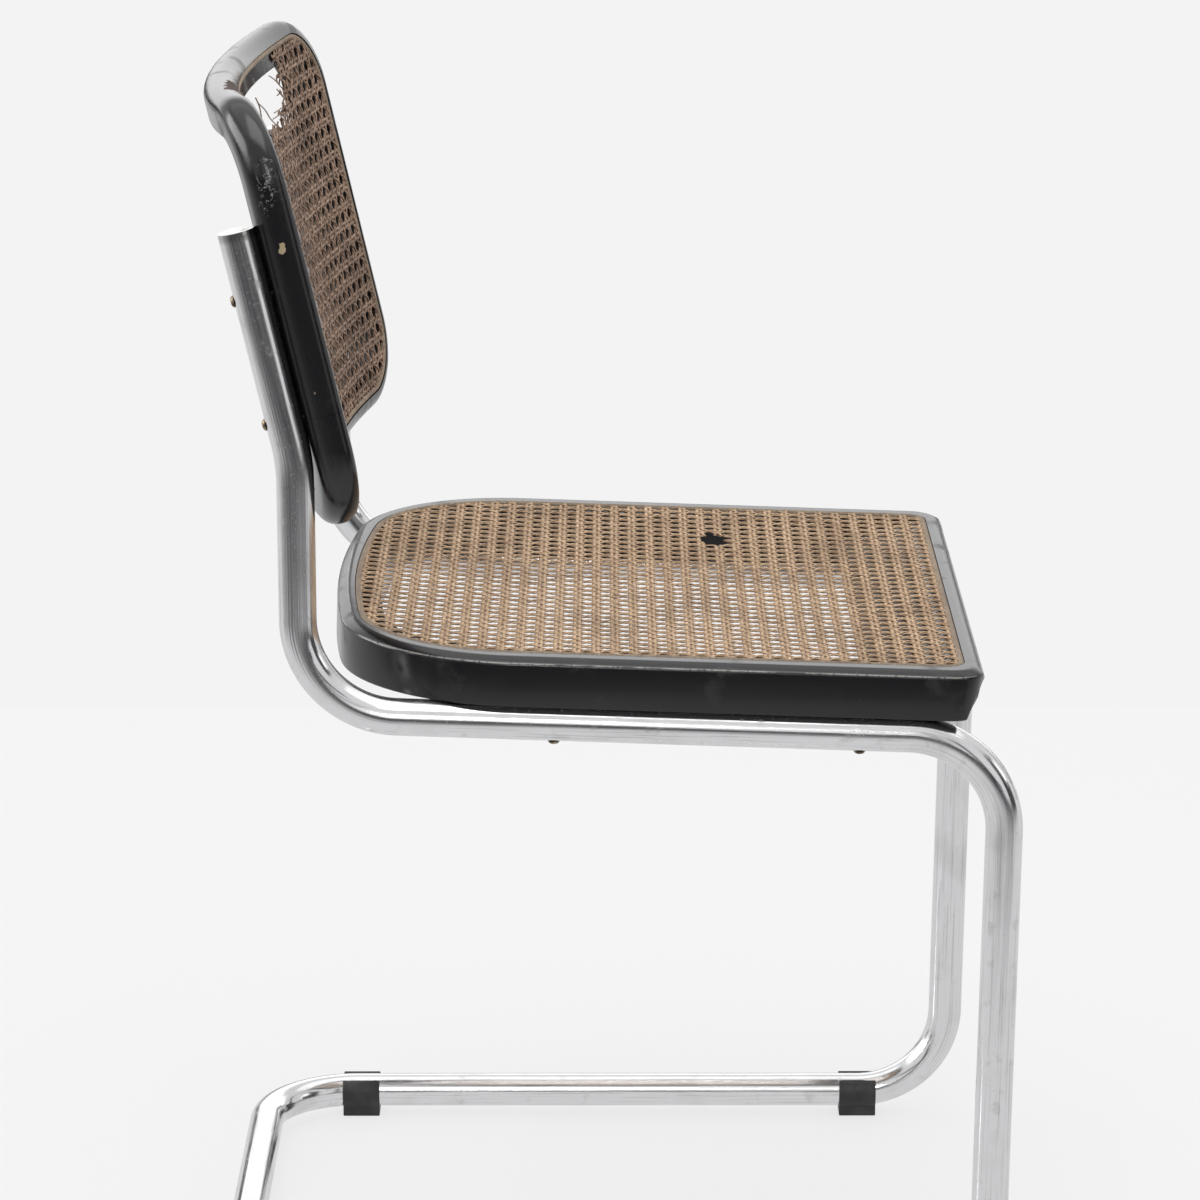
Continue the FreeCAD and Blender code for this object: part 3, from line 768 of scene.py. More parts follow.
def clip_outline():
    """The clip across the runner: down the outside, round the sole, and back up inside."""
    sole_angle = math.acos(-math.sqrt(GLIDE_RADIUS ** 2 - GLIDE_SOLE ** 2) / GLIDE_RADIUS)
    outer = [GLIDE_MOUTH + (sole_angle - GLIDE_MOUTH) * k / OUTER_STEPS for k in range(OUTER_STEPS + 1)]
    inner = [GLIDE_MOUTH + (math.pi - GLIDE_MOUTH) * k / BORE_STEPS for k in range(BORE_STEPS)]
    half = [(GLIDE_RADIUS * math.sin(a), GLIDE_RADIUS * math.cos(a)) for a in outer]
    half.append((GLIDE_SOLE, -GLIDE_FLOOR))
    other = [(-x, z) for x, z in reversed(half)]
    bore = [(-GLIDE_BORE * math.sin(a), GLIDE_BORE * math.cos(a)) for a in inner]
    bore.append((0, -GLIDE_BORE))
    bore += [(-x, z) for x, z in reversed(bore[:-1])]
    return half + other + bore


for end, reach in GLIDE_REACHES.items():
    for side, middle in (("right", -SIDE_X), ("left", SIDE_X)):
        lines = [[at(middle + x, reach + step * GLIDE_LENGTH, z) for step in (-0.5, 0.5)]
                 for x, z in clip_outline()]
        blank = skinned("glide_blank", lines)
        eased = blank.modifiers.new("eased", "BEVEL")
        eased.width = GLIDE_EASING * MM
        eased.segments = 2
        eased.limit_method = "ANGLE"
        eased.angle_limit = GLIDE_EASED_OVER
        glide = applied("glide_%s_%s" % (end, side), blank)
        shade_smooth(glide, sharp_over=34)
        finish_piece(glide, "floor_glide_%s_%s" % (end, side), plastic.material)

# %% [markdown]
# The seat's rim is one bent rail, and its front rail fills the gap between the rim's ends. Both have
# the same section: a flat side, a crisp worn edge, a top that swells gently up to the reed, a groove,
# and a step that the cane lies on. The front face leans in towards its foot.

# %% Lines of the seat
SEAT_INNER = (34.0, 30.0, 75.0)
SEAT_JOINT = SEAT_WIDTH / 2 - SEAT_INNER[0]
SEAT_JOINT_GAP = 0.1
SEAT_GROOVE = (17.0, 12.0, 13.0)
SEAT_GROOVE_CORNER = 14.0
SHARP_CORNER = 0.01
EASING = 1.0
FRONT_SCOOP = 9.0
NOSE_DROP = 0.5
UNDERCUT_TOP = 24.5
EVEN_SECTION = [
    (2.2, 0), (0.6, 0.6), (0, 2.2), (0, 15), (0, 28.6), (0.15, 29.6), (0.7, 30.4), (1.6, 31.0),
    (3.2, 31.9), (5.2, 32.8), (7.4, 33.5), (9.5, 33.85),
]
FRONT_CORNER_STEPS = 8
SIDE_STEPS = 12
REAR_CORNER_STEPS = 20
REAR_STEPS = 14
seat_front_y = UPRIGHT_SETBACK - SEAT_FRONT_REACH


def arc_points(centre, radius, first, last, count):
    """Points of an arc in plan, from one angle to another, without its first."""
    made = []
    for k in range(1, count + 1):
        angle = first + (last - first) * k / count
        made.append((centre[0] + radius * math.cos(angle), centre[1] + radius * math.sin(angle)))
    return made


def seat_line(insets, front_corner):
    """An outline of the seat drawn in by its own amounts, from one front joint round to the other."""
    side, rear, front = insets
    side_x = SEAT_WIDTH / 2 - side
    front_y = seat_front_y + front
    arc = SEAT_REAR_ARC - rear
    centre = UPRIGHT_SETBACK - SEAT_REAR_REACH - rear - arc
    corner = SEAT_REAR_CORNER - (side + rear) / 2
    corner_x = side_x - corner
    corner_y = centre + math.sqrt((arc - corner) ** 2 - corner_x ** 2)
    turn = math.atan2(corner_y - centre, corner_x)
    front_x = side_x - front_corner
    front_end = front_y + front_corner
    half = [(min(SEAT_JOINT, front_x), front_y), (front_x, front_y)]
    half += arc_points((front_x, front_end), front_corner, -math.pi / 2, 0, FRONT_CORNER_STEPS)
    half += [(side_x, front_end + (corner_y - front_end) * k / SIDE_STEPS) for k in range(1, SIDE_STEPS + 1)]
    half += arc_points((corner_x, corner_y), corner, 0, turn, REAR_CORNER_STEPS)
    half += arc_points((0, centre), arc, turn, math.pi / 2, REAR_STEPS)
    return half + [(-x, y) for x, y in reversed(half[:-1])]


def front_shaped(x, y, z, drop=0.0):
    """A place on the seat with the rolled nose and the leaning face of its front."""
    short = max(0.0, FRONT_ROLL - (y - seat_front_y))
    z = min(z, SEAT_TOP - NOSE_DROP - FRONT_ROLL + math.sqrt(FRONT_ROLL ** 2 - short ** 2))
    y = max(y, seat_front_y + SEAT_UNDERCUT * max(0.0, 1 - z / UNDERCUT_TOP))
    return on_seat(x, y, z - drop)


def seat_section():
    """The section as (insets at side, rear and front, front corner, height) from the foot round."""
    groove_floor = SEAT_TOP - GROOVE_DEPTH
    cane_bed = SEAT_TOP - CANE_THICKNESS
    past_groove = tuple(inset + GROOVE_WIDTH for inset in SEAT_GROOVE)
    inner_corner = SEAT_GROOVE_CORNER - GROOVE_WIDTH
    near_edge = tuple(inset - EASING for inset in SEAT_INNER)
    return [((d, d, d), SEAT_FRONT_CORNER - d, z) for d, z in EVEN_SECTION] + [
        (SEAT_GROOVE, SEAT_GROOVE_CORNER, SEAT_TOP),
        (SEAT_GROOVE, SEAT_GROOVE_CORNER, groove_floor),
        (past_groove, inner_corner, groove_floor),
        (past_groove, inner_corner, cane_bed),
        (near_edge, EASING, cane_bed),
        (SEAT_INNER, SHARP_CORNER, cane_bed - EASING),
        (SEAT_INNER, SHARP_CORNER, EASING),
        (near_edge, EASING, 0),
    ]


rim_lines = []
rail_lines = []
rail_end = SEAT_JOINT - SEAT_JOINT_GAP
for insets, corner, z in seat_section():
    rim_lines.append([front_shaped(x, y, z) for x, y in seat_line(insets, corner)])
    scooped = insets[2] > SEAT_GROOVE[2] + GROOVE_WIDTH and z > SEAT_TOP / 2
    drop = FRONT_SCOOP if scooped else 0.0
    rail_lines.append([front_shaped(x, seat_front_y + insets[2], z, drop) for x in (-rail_end, rail_end)])
for name, lines, node in (
    ("seat_rim", rim_lines, "seat_bent_rim"),
    ("seat_front", rail_lines, "seat_front_rail"),
):
    finish_piece(skinned(name, lines), node, lacquer.material)

# %% [markdown]
# The back's frame is a ring with round corners, bent round an upright axis. Its outer half is almost
# a round bar. The upper frame and the lower rail meet in a joint low on each post.

# %% Lines of the back
BACK_RAIL_WIDTH = 27.0
BACK_ROUNDING = 11.0
BACK_INNER_ROUNDING = 4.0
BACK_JOINT_GAP = 0.12
POST_STEPS = 14
BACK_CORNER_STEPS = 16
BACK_RAIL_STEPS = 34
ROUNDING_STEPS = 7
INNER_ROUNDING_STEPS = 4


def straight(start, end, count):
    """Places along a straight side, without its last."""
    return [tuple(a + (b - a) * k / count for a, b in zip(start, end)) for k in range(count)]


def back_run(sign):
    """Places and outward directions round half the back, over the top (1) or under the bottom (-1)."""
    side = BACK_WIDTH / 2
    corner_x = side - BACK_CORNER
    end = BACK_HIGH if sign > 0 else BACK_LOW
    corner_z = end - sign * BACK_CORNER
    joint = BACK_JOINT + sign * BACK_JOINT_GAP
    half = [(x, z, 1, 0) for x, z in straight((side, joint), (side, corner_z), POST_STEPS)]
    for k in range(BACK_CORNER_STEPS + 1):
        angle = math.pi / 2 * k / BACK_CORNER_STEPS
        out = (math.cos(angle), sign * math.sin(angle))
        half.append((corner_x + BACK_CORNER * out[0], corner_z + BACK_CORNER * out[1], *out))
    rail = [(x, z, 0, sign) for x, z in straight((corner_x, end), (-corner_x, end), BACK_RAIL_STEPS)[1:]]
    return half + rail + [(-x, z, -a, b) for x, z, a, b in reversed(half)]


def quarter(centre, radius, first, count):
    """A quarter turn of the section, as (inset, depth), starting at an angle."""
    made = []
    for k in range(count + 1):
        angle = first + math.pi / 2 * k / count
        made.append((centre[0] - radius * math.cos(angle), centre[1] + radius * math.sin(angle)))
    return made


def back_section():
    """The section as (inset from the outline, depth behind the front), from the groove outwards."""
    rear_middle = BACK_THICKNESS - BACK_ROUNDING
    inner_middle = (BACK_RAIL_WIDTH - BACK_INNER_ROUNDING, BACK_THICKNESS - BACK_INNER_ROUNDING)
    inner = BACK_LAND + GROOVE_WIDTH
    return [
        *quarter((BACK_ROUNDING, BACK_ROUNDING), BACK_ROUNDING, -math.pi / 2, ROUNDING_STEPS),
        *quarter((BACK_ROUNDING, rear_middle), BACK_ROUNDING, 0, ROUNDING_STEPS),
        *quarter(inner_middle, BACK_INNER_ROUNDING, math.pi / 2, INNER_ROUNDING_STEPS),
        (BACK_RAIL_WIDTH, CANE_THICKNESS + EASING), (BACK_RAIL_WIDTH - EASING, CANE_THICKNESS),
        (inner, CANE_THICKNESS), (inner, GROOVE_DEPTH), (BACK_LAND, GROOVE_DEPTH),
    ]


upper_run = back_run(1)
lower_run = back_run(-1)
for name, run, node in (
    ("back_upper", upper_run, "back_upper_frame"),
    ("back_lower", lower_run, "back_lower_rail"),
):
    back_lines = [[on_back(x - a * inset, z - b * inset, depth) for x, z, a, b in run]
                  for inset, depth in back_section()]
    finish_piece(skinned(name, back_lines), node, lacquer.material)

# %% [markdown]
# A reed is pressed into each groove over the ends of the cane and holds them. Its top stands just
# proud, as a thin beige line round each panel.

# %% Reeds
REED_RADIUS = 2.45
REED_SINK = 2.2
REED_SIDES = 12
reed_inset = tuple(inset + GROOVE_WIDTH / 2 for inset in SEAT_GROOVE)
seat_reed_path = [on_seat(x, y, SEAT_TOP - REED_SINK)
                  for x, y in seat_line(reed_inset, SEAT_GROOVE_CORNER - GROOVE_WIDTH / 2)]
middle = BACK_LAND + GROOVE_WIDTH / 2
back_reed_path = [on_back(x - a * middle, z - b * middle, REED_SINK)
                  for x, z, a, b in upper_run + list(reversed(lower_run))]
for name, points, node in (
    ("seat_reed", seat_reed_path, "seat_spline"),
    ("back_reed", back_reed_path, "back_spline"),
):
    path = path_object(name + "_path", points, closed=True)
    ring = drawn_bar(name, path, REED_RADIUS, REED_RADIUS, REED_SIDES, reed.material)
    shade_smooth(ring)
    finish_piece(ring, node)

# %% [markdown]
# Caning is a rule repeated a thousand times. Pairs of strips run both ways and weave through each
# other, and single strips run at both slants through the pairs, so that eight-sided holes stay open.
# The tree draws one family of strips: where they lie, how they rise and dip, and where the panel ends.

# %% A tree that weaves one family of strips
weave, given = new_tree(
    "cane_strips",
    Float=[
        "Angle", "Spacing", "Start", "Step", "Width", "Thickness", "Pitch", "Rise", "Phase", "Read Y",
        "Half Width", "Low", "High", "Low Corner", "High Corner", "Bow",
        "Tear X", "Tear Y", "Tear Width", "Tear Height", "Fray", "Wander",
    ],
    Int=["Count", "Steps", "Seed"],
)


def number(label):
    """One of the tree's numbers, ready for sums."""
    return Value(weave, given[label])


line = put(weave, "GeometryNodeMeshLine", {
    "Count": given["Count"], "Start Location": vector(weave, x=number("Start")),
    "Offset": vector(weave, x=number("Spacing")),
})
strip = put(weave, "GeometryNodeMeshLine", {
    "Count": given["Steps"], "Start Location": vector(weave, y=(number("Steps") - 1) * number("Step") * -0.5),
    "Offset": vector(weave, y=number("Step")),
})
laid = put(weave, "GeometryNodeInstanceOnPoints", {"Points": line, "Instance": strip})
chance = put(weave, "FunctionNodeRandomValue", {"Seed": given["Seed"]})
numbered = marked(weave, laid, "strip", chance.outputs[1], domain="INSTANCE")
single = put(weave, "GeometryNodeRealizeInstances", {0: numbered})
turned = put(weave, "GeometryNodeTransform", {
    "Geometry": single, "Rotation": vector(weave, z=number("Angle")),
})
where = put(weave, "GeometryNodeInputPosition").outputs[0]
parts = put(weave, "ShaderNodeSeparateXYZ", {0: where})
x = Value(weave, parts.outputs[0])
y = Value(weave, parts.outputs[1])
read = x + (y - x) * number("Read Y")

# %% [markdown]
# The panel ends where its groove runs: straight sides, a straight or bowed far edge and four round
# corners. Points past that outline are dropped before a strip gets its width.

# %% The panel's outline
def past_corner(off_x, off_y, radius):
    """1 outside a round corner, from how far a point lies past the corner's middle."""
    return (off_x > 0) * (off_y > 0) * ((off_x * off_x + off_y * off_y).math("SQRT") > radius)


across = x.math("ABSOLUTE")
corner_x = number("Half Width") - number("High Corner")
bow_centre = number("High") - number("Bow")
from_bow = (x * x + (y - bow_centre) * (y - bow_centre)).math("SQRT")
reach_up = number("Bow") - number("High Corner")
corner_y = bow_centre + (reach_up * reach_up - corner_x * corner_x).math("SQRT")
past_high = past_corner(across - corner_x, y - corner_y, number("High Corner"))
past_low = past_corner(
    across - (number("Half Width") - number("Low Corner")),
    number("Low") + number("Low Corner") - y,
    number("Low Corner"),
)
past_edges = (across > number("Half Width")) + (y < number("Low")) + (from_bow > number("Bow"))

# %% [markdown]
# Old cane tears. Inside the tear the strips are gone, and near it they end raggedly and curl. A
# fourth power makes the tear a box with round corners, and noise frays its edge.

# %% The tear
FRAY_BUMPS = 110.0
own_number = put(weave, "GeometryNodeInputNamedAttribute", {"Name": "strip"})
jitter = put(weave, "ShaderNodeTexNoise", {
    "Vector": where, "W": Value(weave, own_number.outputs[0]) * 40, "Scale": FRAY_BUMPS, "Detail": 2.0,
}, noise_dimensions="4D")
tear_x = (x - number("Tear X")) / number("Tear Width")
tear_y = (y - number("Tear Y")) / number("Tear Height")
tear_x = tear_x * tear_x
tear_y = tear_y * tear_y
from_tear = tear_x * tear_x + tear_y * tear_y
ragged = (Value(weave, jitter.outputs["Fac"]) - 0.5) * number("Fray")
torn = from_tear + ragged < 1.0
kept = put(weave, "GeometryNodeDeleteGeometry", {
    "Geometry": turned, "Selection": past_edges + past_high + past_low + torn,
})

# %% The rise and dip of a strip, and its section
CURL = 4.0
wave = (read / number("Pitch") * math.tau + number("Phase")).math("SINE") * number("Rise")
strand = put(weave, "GeometryNodeMeshToCurve", {0: kept})
lifted = put(weave, "GeometryNodeSetPosition", {"Geometry": strand, "Offset": vector(weave, z=wave)})
loose = 1 + (1 - from_tear.ramp(1.0, 3.5)) * CURL
drift = put(weave, "ShaderNodeVectorMath", {
    0: jitter.outputs["Color"], 1: (0.5, 0.5, 0.5),
}, operation="SUBTRACT")
drift = put(weave, "ShaderNodeVectorMath", {0: drift, "Scale": loose * number("Wander")}, operation="SCALE")
wandering = put(weave, "GeometryNodeSetPosition", {"Geometry": lifted, "Offset": drift})
upright = put(weave, "GeometryNodeSetCurveNormal", {0: wandering}, mode="Z_UP")
four_points = put(weave, "GeometryNodeCurvePrimitiveCircle", {"Resolution": 4, "Radius": 0.5})
# Each point of the section is marked by how far it lies from the strip's middle, so that the finish can paint
# shade along the edges.
from_middle = put(weave, "ShaderNodeSeparateXYZ", {0: put(weave, "GeometryNodeInputPosition")})
on_edge = Value(weave, from_middle.outputs[0]).math("ABSOLUTE") * 2
section = put(weave, "GeometryNodeTransform", {
    "Geometry": marked(weave, four_points, "edge", on_edge),
    "Scale": vector(weave, number("Width"), number("Thickness"), 1.0),
})
ribbon = put(weave, "GeometryNodeCurveToMesh", {
    "Curve": upright, "Profile Curve": section, "Fill Caps": True,
})
send_out(weave, ribbon, given["Finish"])

# %% [markdown]
# Six families make a panel: two of pairs up and down, two across, and two slanted. Each is given
# its turn, how far it lies from the middle, where its wave starts, and whether the wave follows y.

# %% A woven panel
CANE_PITCH = 12.7 * MM
PAIR_SPREAD = 1.65 * MM
PAIR_WIDTH = 3.0 * MM
PAIR_RISE = 0.5 * MM
SLANT_WIDTH = 2.6 * MM
SLANT_RISE = 0.62 * MM
STEPS_PER_HOLE = 6
QUARTER = math.pi / 2
FAMILIES = {
    "lengthwise": [(0.0, -PAIR_SPREAD, 0.0, 1.0), (0.0, PAIR_SPREAD, math.pi, 1.0)],
    "crosswise": [(QUARTER, -PAIR_SPREAD, math.pi, 0.0), (QUARTER, PAIR_SPREAD, 0.0, 0.0)],
    "slanted": [(QUARTER / 2, 0.0, QUARTER, 0.0), (-QUARTER / 2, 0.0, -QUARTER, 0.0)],
}


def strips(slanted, angle, offset, phase, read_y, panel, seed):
    """One family of strips over a panel."""
    stretch = math.sqrt(2) if slanted else 1
    spacing = CANE_PITCH / stretch
    step = CANE_PITCH * stretch / STEPS_PER_HOLE
    length = 2 * math.hypot(panel["Half Width"], panel["High"]) + CANE_PITCH
    count = 2 * int(length / 2 / spacing) + (2 if slanted else 1)
    base = new_object("strips_base", bpy.data.meshes.new("strips_base"))
    return made_by(weave, "strips", base, {
        **panel, "Angle": angle, "Spacing": spacing, "Start": offset - spacing * (count - 1) / 2,
        "Count": count, "Step": step, "Steps": 2 * int(length / 2 / step) + 1,
        "Width": SLANT_WIDTH if slanted else PAIR_WIDTH, "Rise": SLANT_RISE if slanted else PAIR_RISE,
        "Pitch": CANE_PITCH, "Phase": phase, "Read Y": read_y, "Seed": seed,
    })


def joined(name, pieces):
    """One mesh from several pieces."""
    work = bmesh.new()
    for piece in pieces:
        work.from_mesh(piece.data)
    mesh = pieces[0].data.copy()
    work.to_mesh(mesh)
    work.free()
    mesh.name = name
    for piece in pieces:
        bpy.data.objects.remove(piece)
    return new_object(name, mesh)


def torn_at(place, size, middle):
    """The tree's inputs for a tear, in millimetres across and along a panel."""
    return {
        "Tear X": place[0] * MM, "Tear Y": (place[1] - middle) * MM,
        "Tear Width": size[0] * MM, "Tear Height": size[1] * MM,
    }


def woven(name, panel, seed):
    """The three pieces of a woven panel, each joined from two families."""
    made = []
    for direction, families in FAMILIES.items():
        laid = []
        for family in families:
            laid.append(strips(direction == "slanted", *family, panel, seed))
            seed += 1
        made.append(joined("%s_%s" % (name, direction), laid))
    return made


# %% [markdown]
# The seat's panel lies a little slack, as old cane does. It is woven flat, sagged in the middle, and
# then tilted to the slope of the rails. A small hole has been poked in it.

# %% Seat cane
EDGE_UNDER_REED = 2.0
SEAT_SAG = 5.0
SEAT_CANE_CORNER = 101.0
SEAT_HOLE = (128.0, -281.0)
SEAT_HOLE_SIZE = (15.0, 8.0)
CANE_MIDDLE = 1.0

seat_low = seat_front_y + SEAT_GROOVE[2] + EDGE_UNDER_REED
seat_high = UPRIGHT_SETBACK - SEAT_REAR_REACH - SEAT_GROOVE[1] - EDGE_UNDER_REED
seat_middle = (seat_low + seat_high) / 2
half_length = (seat_high - seat_low) / 2 * MM
half_width = (SEAT_WIDTH / 2 - SEAT_GROOVE[0] - EDGE_UNDER_REED) * MM
seat_panel = {
    "Half Width": half_width, "Low": -half_length, "High": half_length,
    "Low Corner": (SEAT_GROOVE_CORNER - EDGE_UNDER_REED) * MM, "High Corner": SEAT_CANE_CORNER * MM,
    "Bow": (SEAT_REAR_ARC - SEAT_GROOVE[1] - EDGE_UNDER_REED) * MM,
    **torn_at(SEAT_HOLE, SEAT_HOLE_SIZE, seat_middle),
    "Fray": 1.5, "Wander": 1.3 * MM, "Thickness": 0.75 * MM, "Finish": seat_tan,
}
for piece in woven("seat_cane", seat_panel, 11):
    for vertex in piece.data.vertices:
        u = vertex.co.x / half_width
        v = vertex.co.y / half_length
        sag = SEAT_SAG * MM * max(0.0, 1 - u * u) * max(0.0, 1 - v * v)
        vertex.co += Vector((0, seat_middle * MM, (SEAT_TOP - CANE_MIDDLE) * MM - sag))
    piece.data.transform(seat_place)
    shade_smooth(piece)
    finish_piece(piece, "seat_cane")

# %% [markdown]
# The back's panel is woven flat too, and then wrapped round the same upright axis as its frame. Its
# upper part is torn away from the reed.

# %% Back cane
STRAIGHT_BOW = 100.0
BACK_TEAR = (43.0, 206.0)
BACK_TEAR_SIZE = (90.0, 31.0)
inset = BACK_LAND + EDGE_UNDER_REED
corner = (BACK_CORNER - inset) * MM
half_length = ((BACK_HIGH - BACK_LOW) / 2 - inset) * MM
back_middle = (BACK_HIGH + BACK_LOW) / 2
back_panel = {
    "Half Width": (BACK_WIDTH / 2 - inset) * MM, "Low": -half_length, "High": half_length,
    "Low Corner": corner, "High Corner": corner, "Bow": STRAIGHT_BOW,
    **torn_at(BACK_TEAR, BACK_TEAR_SIZE, back_middle),
    "Fray": 2.0, "Wander": 2.4 * MM, "Thickness": 1.1 * MM, "Finish": back_tan,
}
for piece in woven("back_cane", back_panel, 31):
    for vertex in piece.data.vertices:
        x, height, rise = vertex.co / MM
        vertex.co = on_back(x, height + back_middle, CANE_MIDDLE - rise)
    shade_smooth(piece)
    finish_piece(piece, "back_cane")

# %% [markdown]
# A few torn strands still hang in the opening. Each is given as millimetres across and up the
# back, and a smooth curve carries a thin flat section through those places.

# %% Loose strands
STRAND_WIDTH = 1.1
STRAND_THICKNESS = 0.7
STRAND_SIDES = 6
LOOSE_STRANDS = [
    [(48, 204), (56, 198), (53, 191), (50, 186), (52, 172)],
    [(51, 200), (64, 195), (74, 190), (81, 183), (97, 175), (104, 168)],
    [(132, 183), (117, 183), (98, 184)],
    [(142, 178), (136, 178), (116, 180), (90, 181)],
    [(116, 180), (114, 177), (117, 174)],
    [(146, 180), (138, 186), (129, 191), (122, 197)],
    [(133, 193), (127, 193), (118, 193)],
    [(110, 209), (123, 204), (135, 195), (150, 186)],
    [(154, 212), (163, 205), (158, 198), (166, 191)],
    [(172, 214), (166, 206), (172, 198), (176, 190)],
]
torn_strands = []
for places in LOOSE_STRANDS:
    path = path_object("strand_path", [on_back(x, height, CANE_MIDDLE) for x, height in places], kind="NURBS")
    torn_strands.append(drawn_bar(
        "torn_strand", path, STRAND_WIDTH / 2, STRAND_THICKNESS / 2, STRAND_SIDES, back_tan))
torn_piece = joined("back_cane_torn", torn_strands)
shade_smooth(torn_piece)
finish_piece(torn_piece, "back_cane")

# %% [markdown]
# A plain pale floor that ends a little behind the chair against a pale room, and soft light from
# above. The floor glows a little for the camera and for mirrors, so that it looks pale without more
# light on the chair, and it still keeps the chair's shadow. In mirrors it darkens to the far side, in
# streaks that fan out from the chair, which draw dark lines along the tubes.

# %% Floor and room
FLOOR_END = 1.37
FLOOR_SIZE = 12.0
CAMERA_GLOW = 0.75
FAN_CENTRE = (-0.22, 0.2)
PAPER_SEEN = (0.95, 0.95, 0.95, 1)
PAPER_MIRRORED = (0.74, 0.74, 0.745, 1)
FAR_MIRRORED = (0.10, 0.10, 0.105, 1)
FAN_MIRRORED = (0.06, 0.06, 0.06, 1)
ROOM_MIRRORED = (0.78, 0.78, 0.785, 1)
ROOM_SEEN = (0.895, 0.895, 0.895, 1)
studio = Finish("studio_paper")
studio.set("Base Color", (0.8, 0.8, 0.8, 1))
studio.set("Roughness", 1.0)
rays = studio.put("LightPath")
mirrored = Value(studio.tree, rays.outputs["Is Glossy Ray"]).math(
    "MAXIMUM", rays.outputs["Is Transmission Ray"])
seen = Value(studio.tree, rays.outputs["Is Camera Ray"]) * CAMERA_GLOW
sideways = studio.axis(1) * 0.1 + studio.axis(1).math("ABSOLUTE") * 0.4
far_side = studio.axis(0) * -0.9 + sideways
angle = (studio.axis(1) - FAN_CENTRE[1]).math("ARCTAN2", studio.axis(0) - FAN_CENTRE[0])
fan = Value(studio.tree, studio.put(
    "TexNoise", {"W": angle, "Scale": 6.0, "Detail": 4.0}, noise_dimensions="1D").outputs["Fac"])
fan_strength = fan.ramp(0.44, 0.58) * far_side.ramp(0.7, 1.6) * 0.75
mirror_tone = studio.mix(far_side.ramp(0.9, 3.1), PAPER_MIRRORED, FAR_MIRRORED)
mirror_tone = studio.mix(fan_strength, mirror_tone, FAN_MIRRORED)
glow = studio.put("Emission", {
    "Color": studio.mix(rays.outputs["Is Camera Ray"], mirror_tone, PAPER_SEEN), "Strength": 1.0,
})
shown = studio.put("MixShader", {0: mirrored.math("MAXIMUM", seen), 1: studio.shader, 2: glow})
feed(studio.tree, studio.tree.nodes["Material Output"].inputs["Surface"], shown)

bpy.ops.mesh.primitive_plane_add(size=1, location=(0, 0, 0))
floor = bpy.context.object
floor.name = "floor"
floor.data.transform(Matrix.Diagonal((FLOOR_SIZE, FLOOR_SIZE, 1, 1)))
floor.data.transform(Matrix.Translation((FLOOR_END - FLOOR_SIZE / 2, 0, 0)))
floor.data.materials.append(studio.material)

world = bpy.data.worlds.new("soft_room")
world.use_nodes = True
scene.world = world
air = world.node_tree
room_tone = put(air, "ShaderNodeMix", {
    0: put(air, "ShaderNodeLightPath").outputs["Is Camera Ray"], 6: ROOM_MIRRORED, 7: ROOM_SEEN,
}, data_type="RGBA")
feed(air, air.nodes["Background"].inputs["Color"], room_tone.outputs[2])
air.nodes["Background"].inputs["Strength"].default_value = 1.0

# %% [markdown]
# Chrome and lacquer are only as good as what they mirror. Photographers stand dark and bright boards
# out of the picture for this, so that a bright tube gets dark lines along it and a black rail gets a
# pale sheen. These boards show in mirrors and nowhere else.

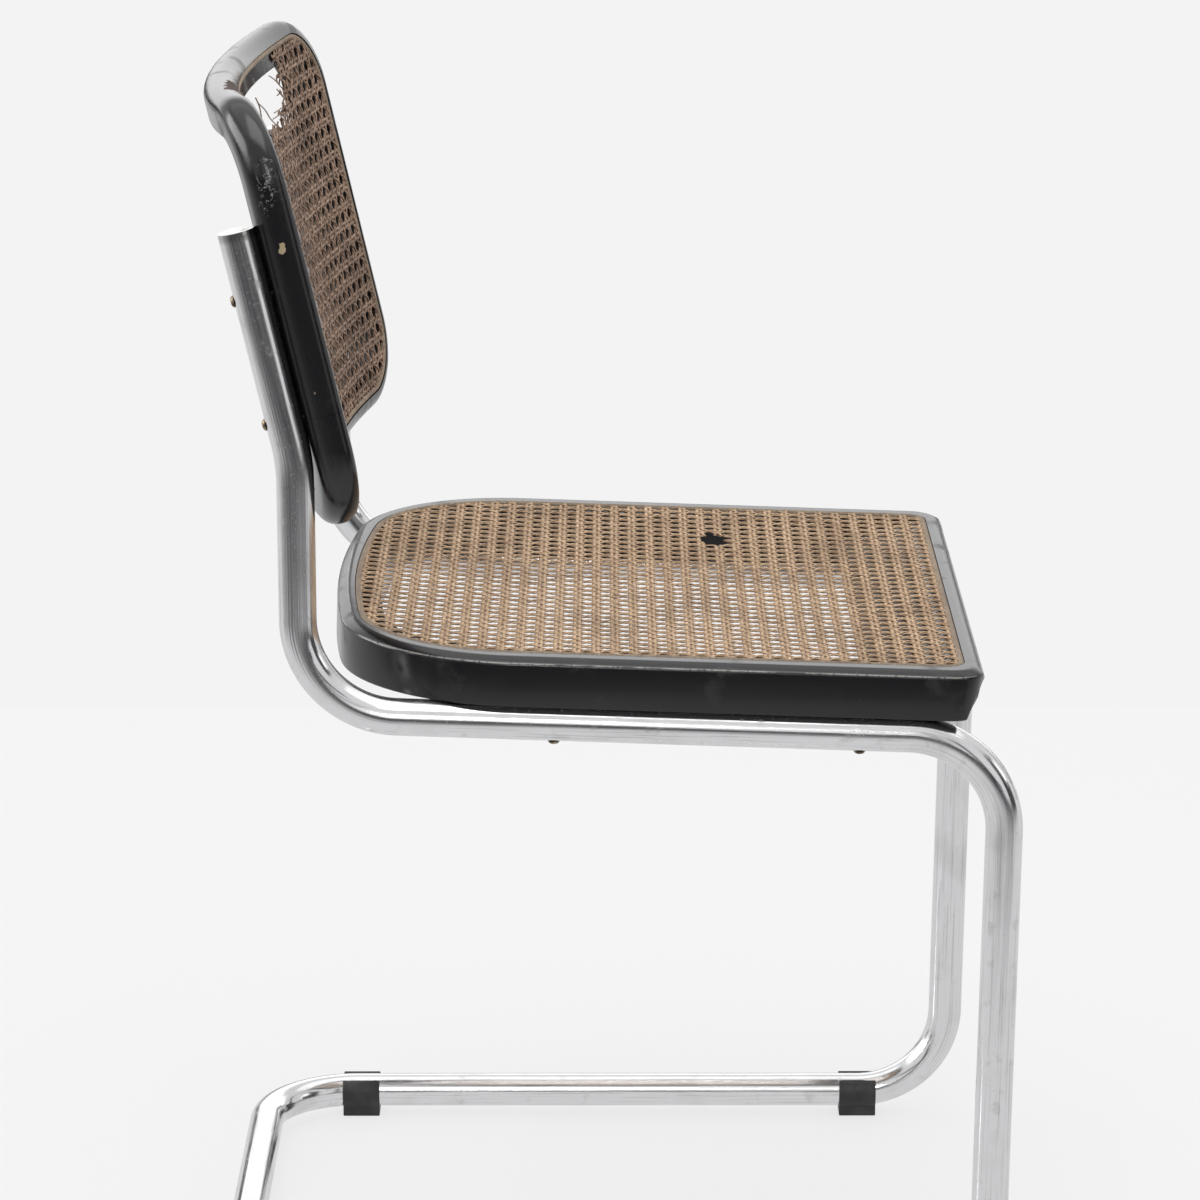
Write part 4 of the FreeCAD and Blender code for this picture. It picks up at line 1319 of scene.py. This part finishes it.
# %% Boards for the mirrors
DARK_BOARDS = [
    ((-5.0, 0.0, 0.50), (0.05, 10.0, 0.5)),
    ((5.0, 0.0, 0.50), (0.05, 10.0, 0.5)),
    ((-4.6, -2.6, 1.6), (0.05, 0.7, 3.2)),
    ((-4.6, -1.2, 1.6), (0.05, 0.25, 3.2)),
    ((-4.6, 0.9, 1.6), (0.05, 0.2, 3.2)),
    ((-4.6, 2.4, 1.6), (0.05, 0.5, 3.2)),
    ((-1.0, -5.0, 1.6), (3.0, 0.05, 3.2)),
    ((3.2, -5.0, 1.6), (0.6, 0.05, 3.2)),
    ((-2.4, 5.0, 1.6), (1.0, 0.05, 3.2)),
    ((1.4, 5.0, 1.6), (1.2, 0.05, 3.2)),
    ((4.8, -2.6, 1.6), (0.05, 0.6, 3.2)),
    ((4.8, 2.2, 1.6), (0.05, 0.4, 3.2)),
]
BRIGHT_BOARDS = [
    ((0.3, 0.0, 3.1), (3.6, 5.0, 0.02), 1.3),
    ((3.6, 0.0, 1.7), (0.02, 6.0, 1.9), 1.45),
    ((0.0, -4.6, 1.9), (1.2, 0.02, 1.2), 1.6),
    ((0.4, 4.6, 2.1), (4.6, 0.02, 2.2), 5.0),
    ((-4.5, 0.2, 1.95), (0.02, 0.25, 0.9), 22.0),
]
dark_board = Finish("dark_board")
dark_board.set("Base Color", dark_board.mix(
    dark_board.noise(1.5), (0.02, 0.02, 0.022, 1), (0.07, 0.07, 0.07, 1)))
dark_board.set("Roughness", 1.0)


def stand_board(name, place, size, material):
    """A thin board that only mirrors see."""
    board = box(name, size, place)
    board.data.materials.append(material)
    board.visible_camera = False
    board.visible_diffuse = False
    board.visible_shadow = False


for index, (place, size) in enumerate(DARK_BOARDS):
    stand_board("dark_board_%d" % index, place, size, dark_board.material)
for index, (place, size, strength) in enumerate(BRIGHT_BOARDS):
    bright = Finish("bright_board_%d" % index)
    bright.set("Base Color", (0, 0, 0, 1))
    bright.set("Emission Color", (1, 1, 1, 1))
    bright.set("Emission Strength", strength)
    stand_board("bright_board_%d" % index, place, size, bright.material)

# %% Lamp and tones
LAMP_PLACE = (-0.6, 0.2, 2.6)
LAMP_AIM = Vector((0, 0, 0.4))
LAMP_SIZE = 1.6
LAMP_POWER = 18
lamp_data = bpy.data.lights.new("top_panel", "AREA")
lamp_data.shape = "RECTANGLE"
lamp_data.size = lamp_data.size_y = LAMP_SIZE
lamp_data.energy = LAMP_POWER
lamp = bpy.data.objects.new("top_panel", lamp_data)
lamp.location = LAMP_PLACE
lamp.rotation_mode = "QUATERNION"
lamp.rotation_quaternion = (LAMP_AIM - lamp.location).to_track_quat("-Z", "Y")
scene.collection.objects.link(lamp)
scene.view_settings.view_transform = "Standard"
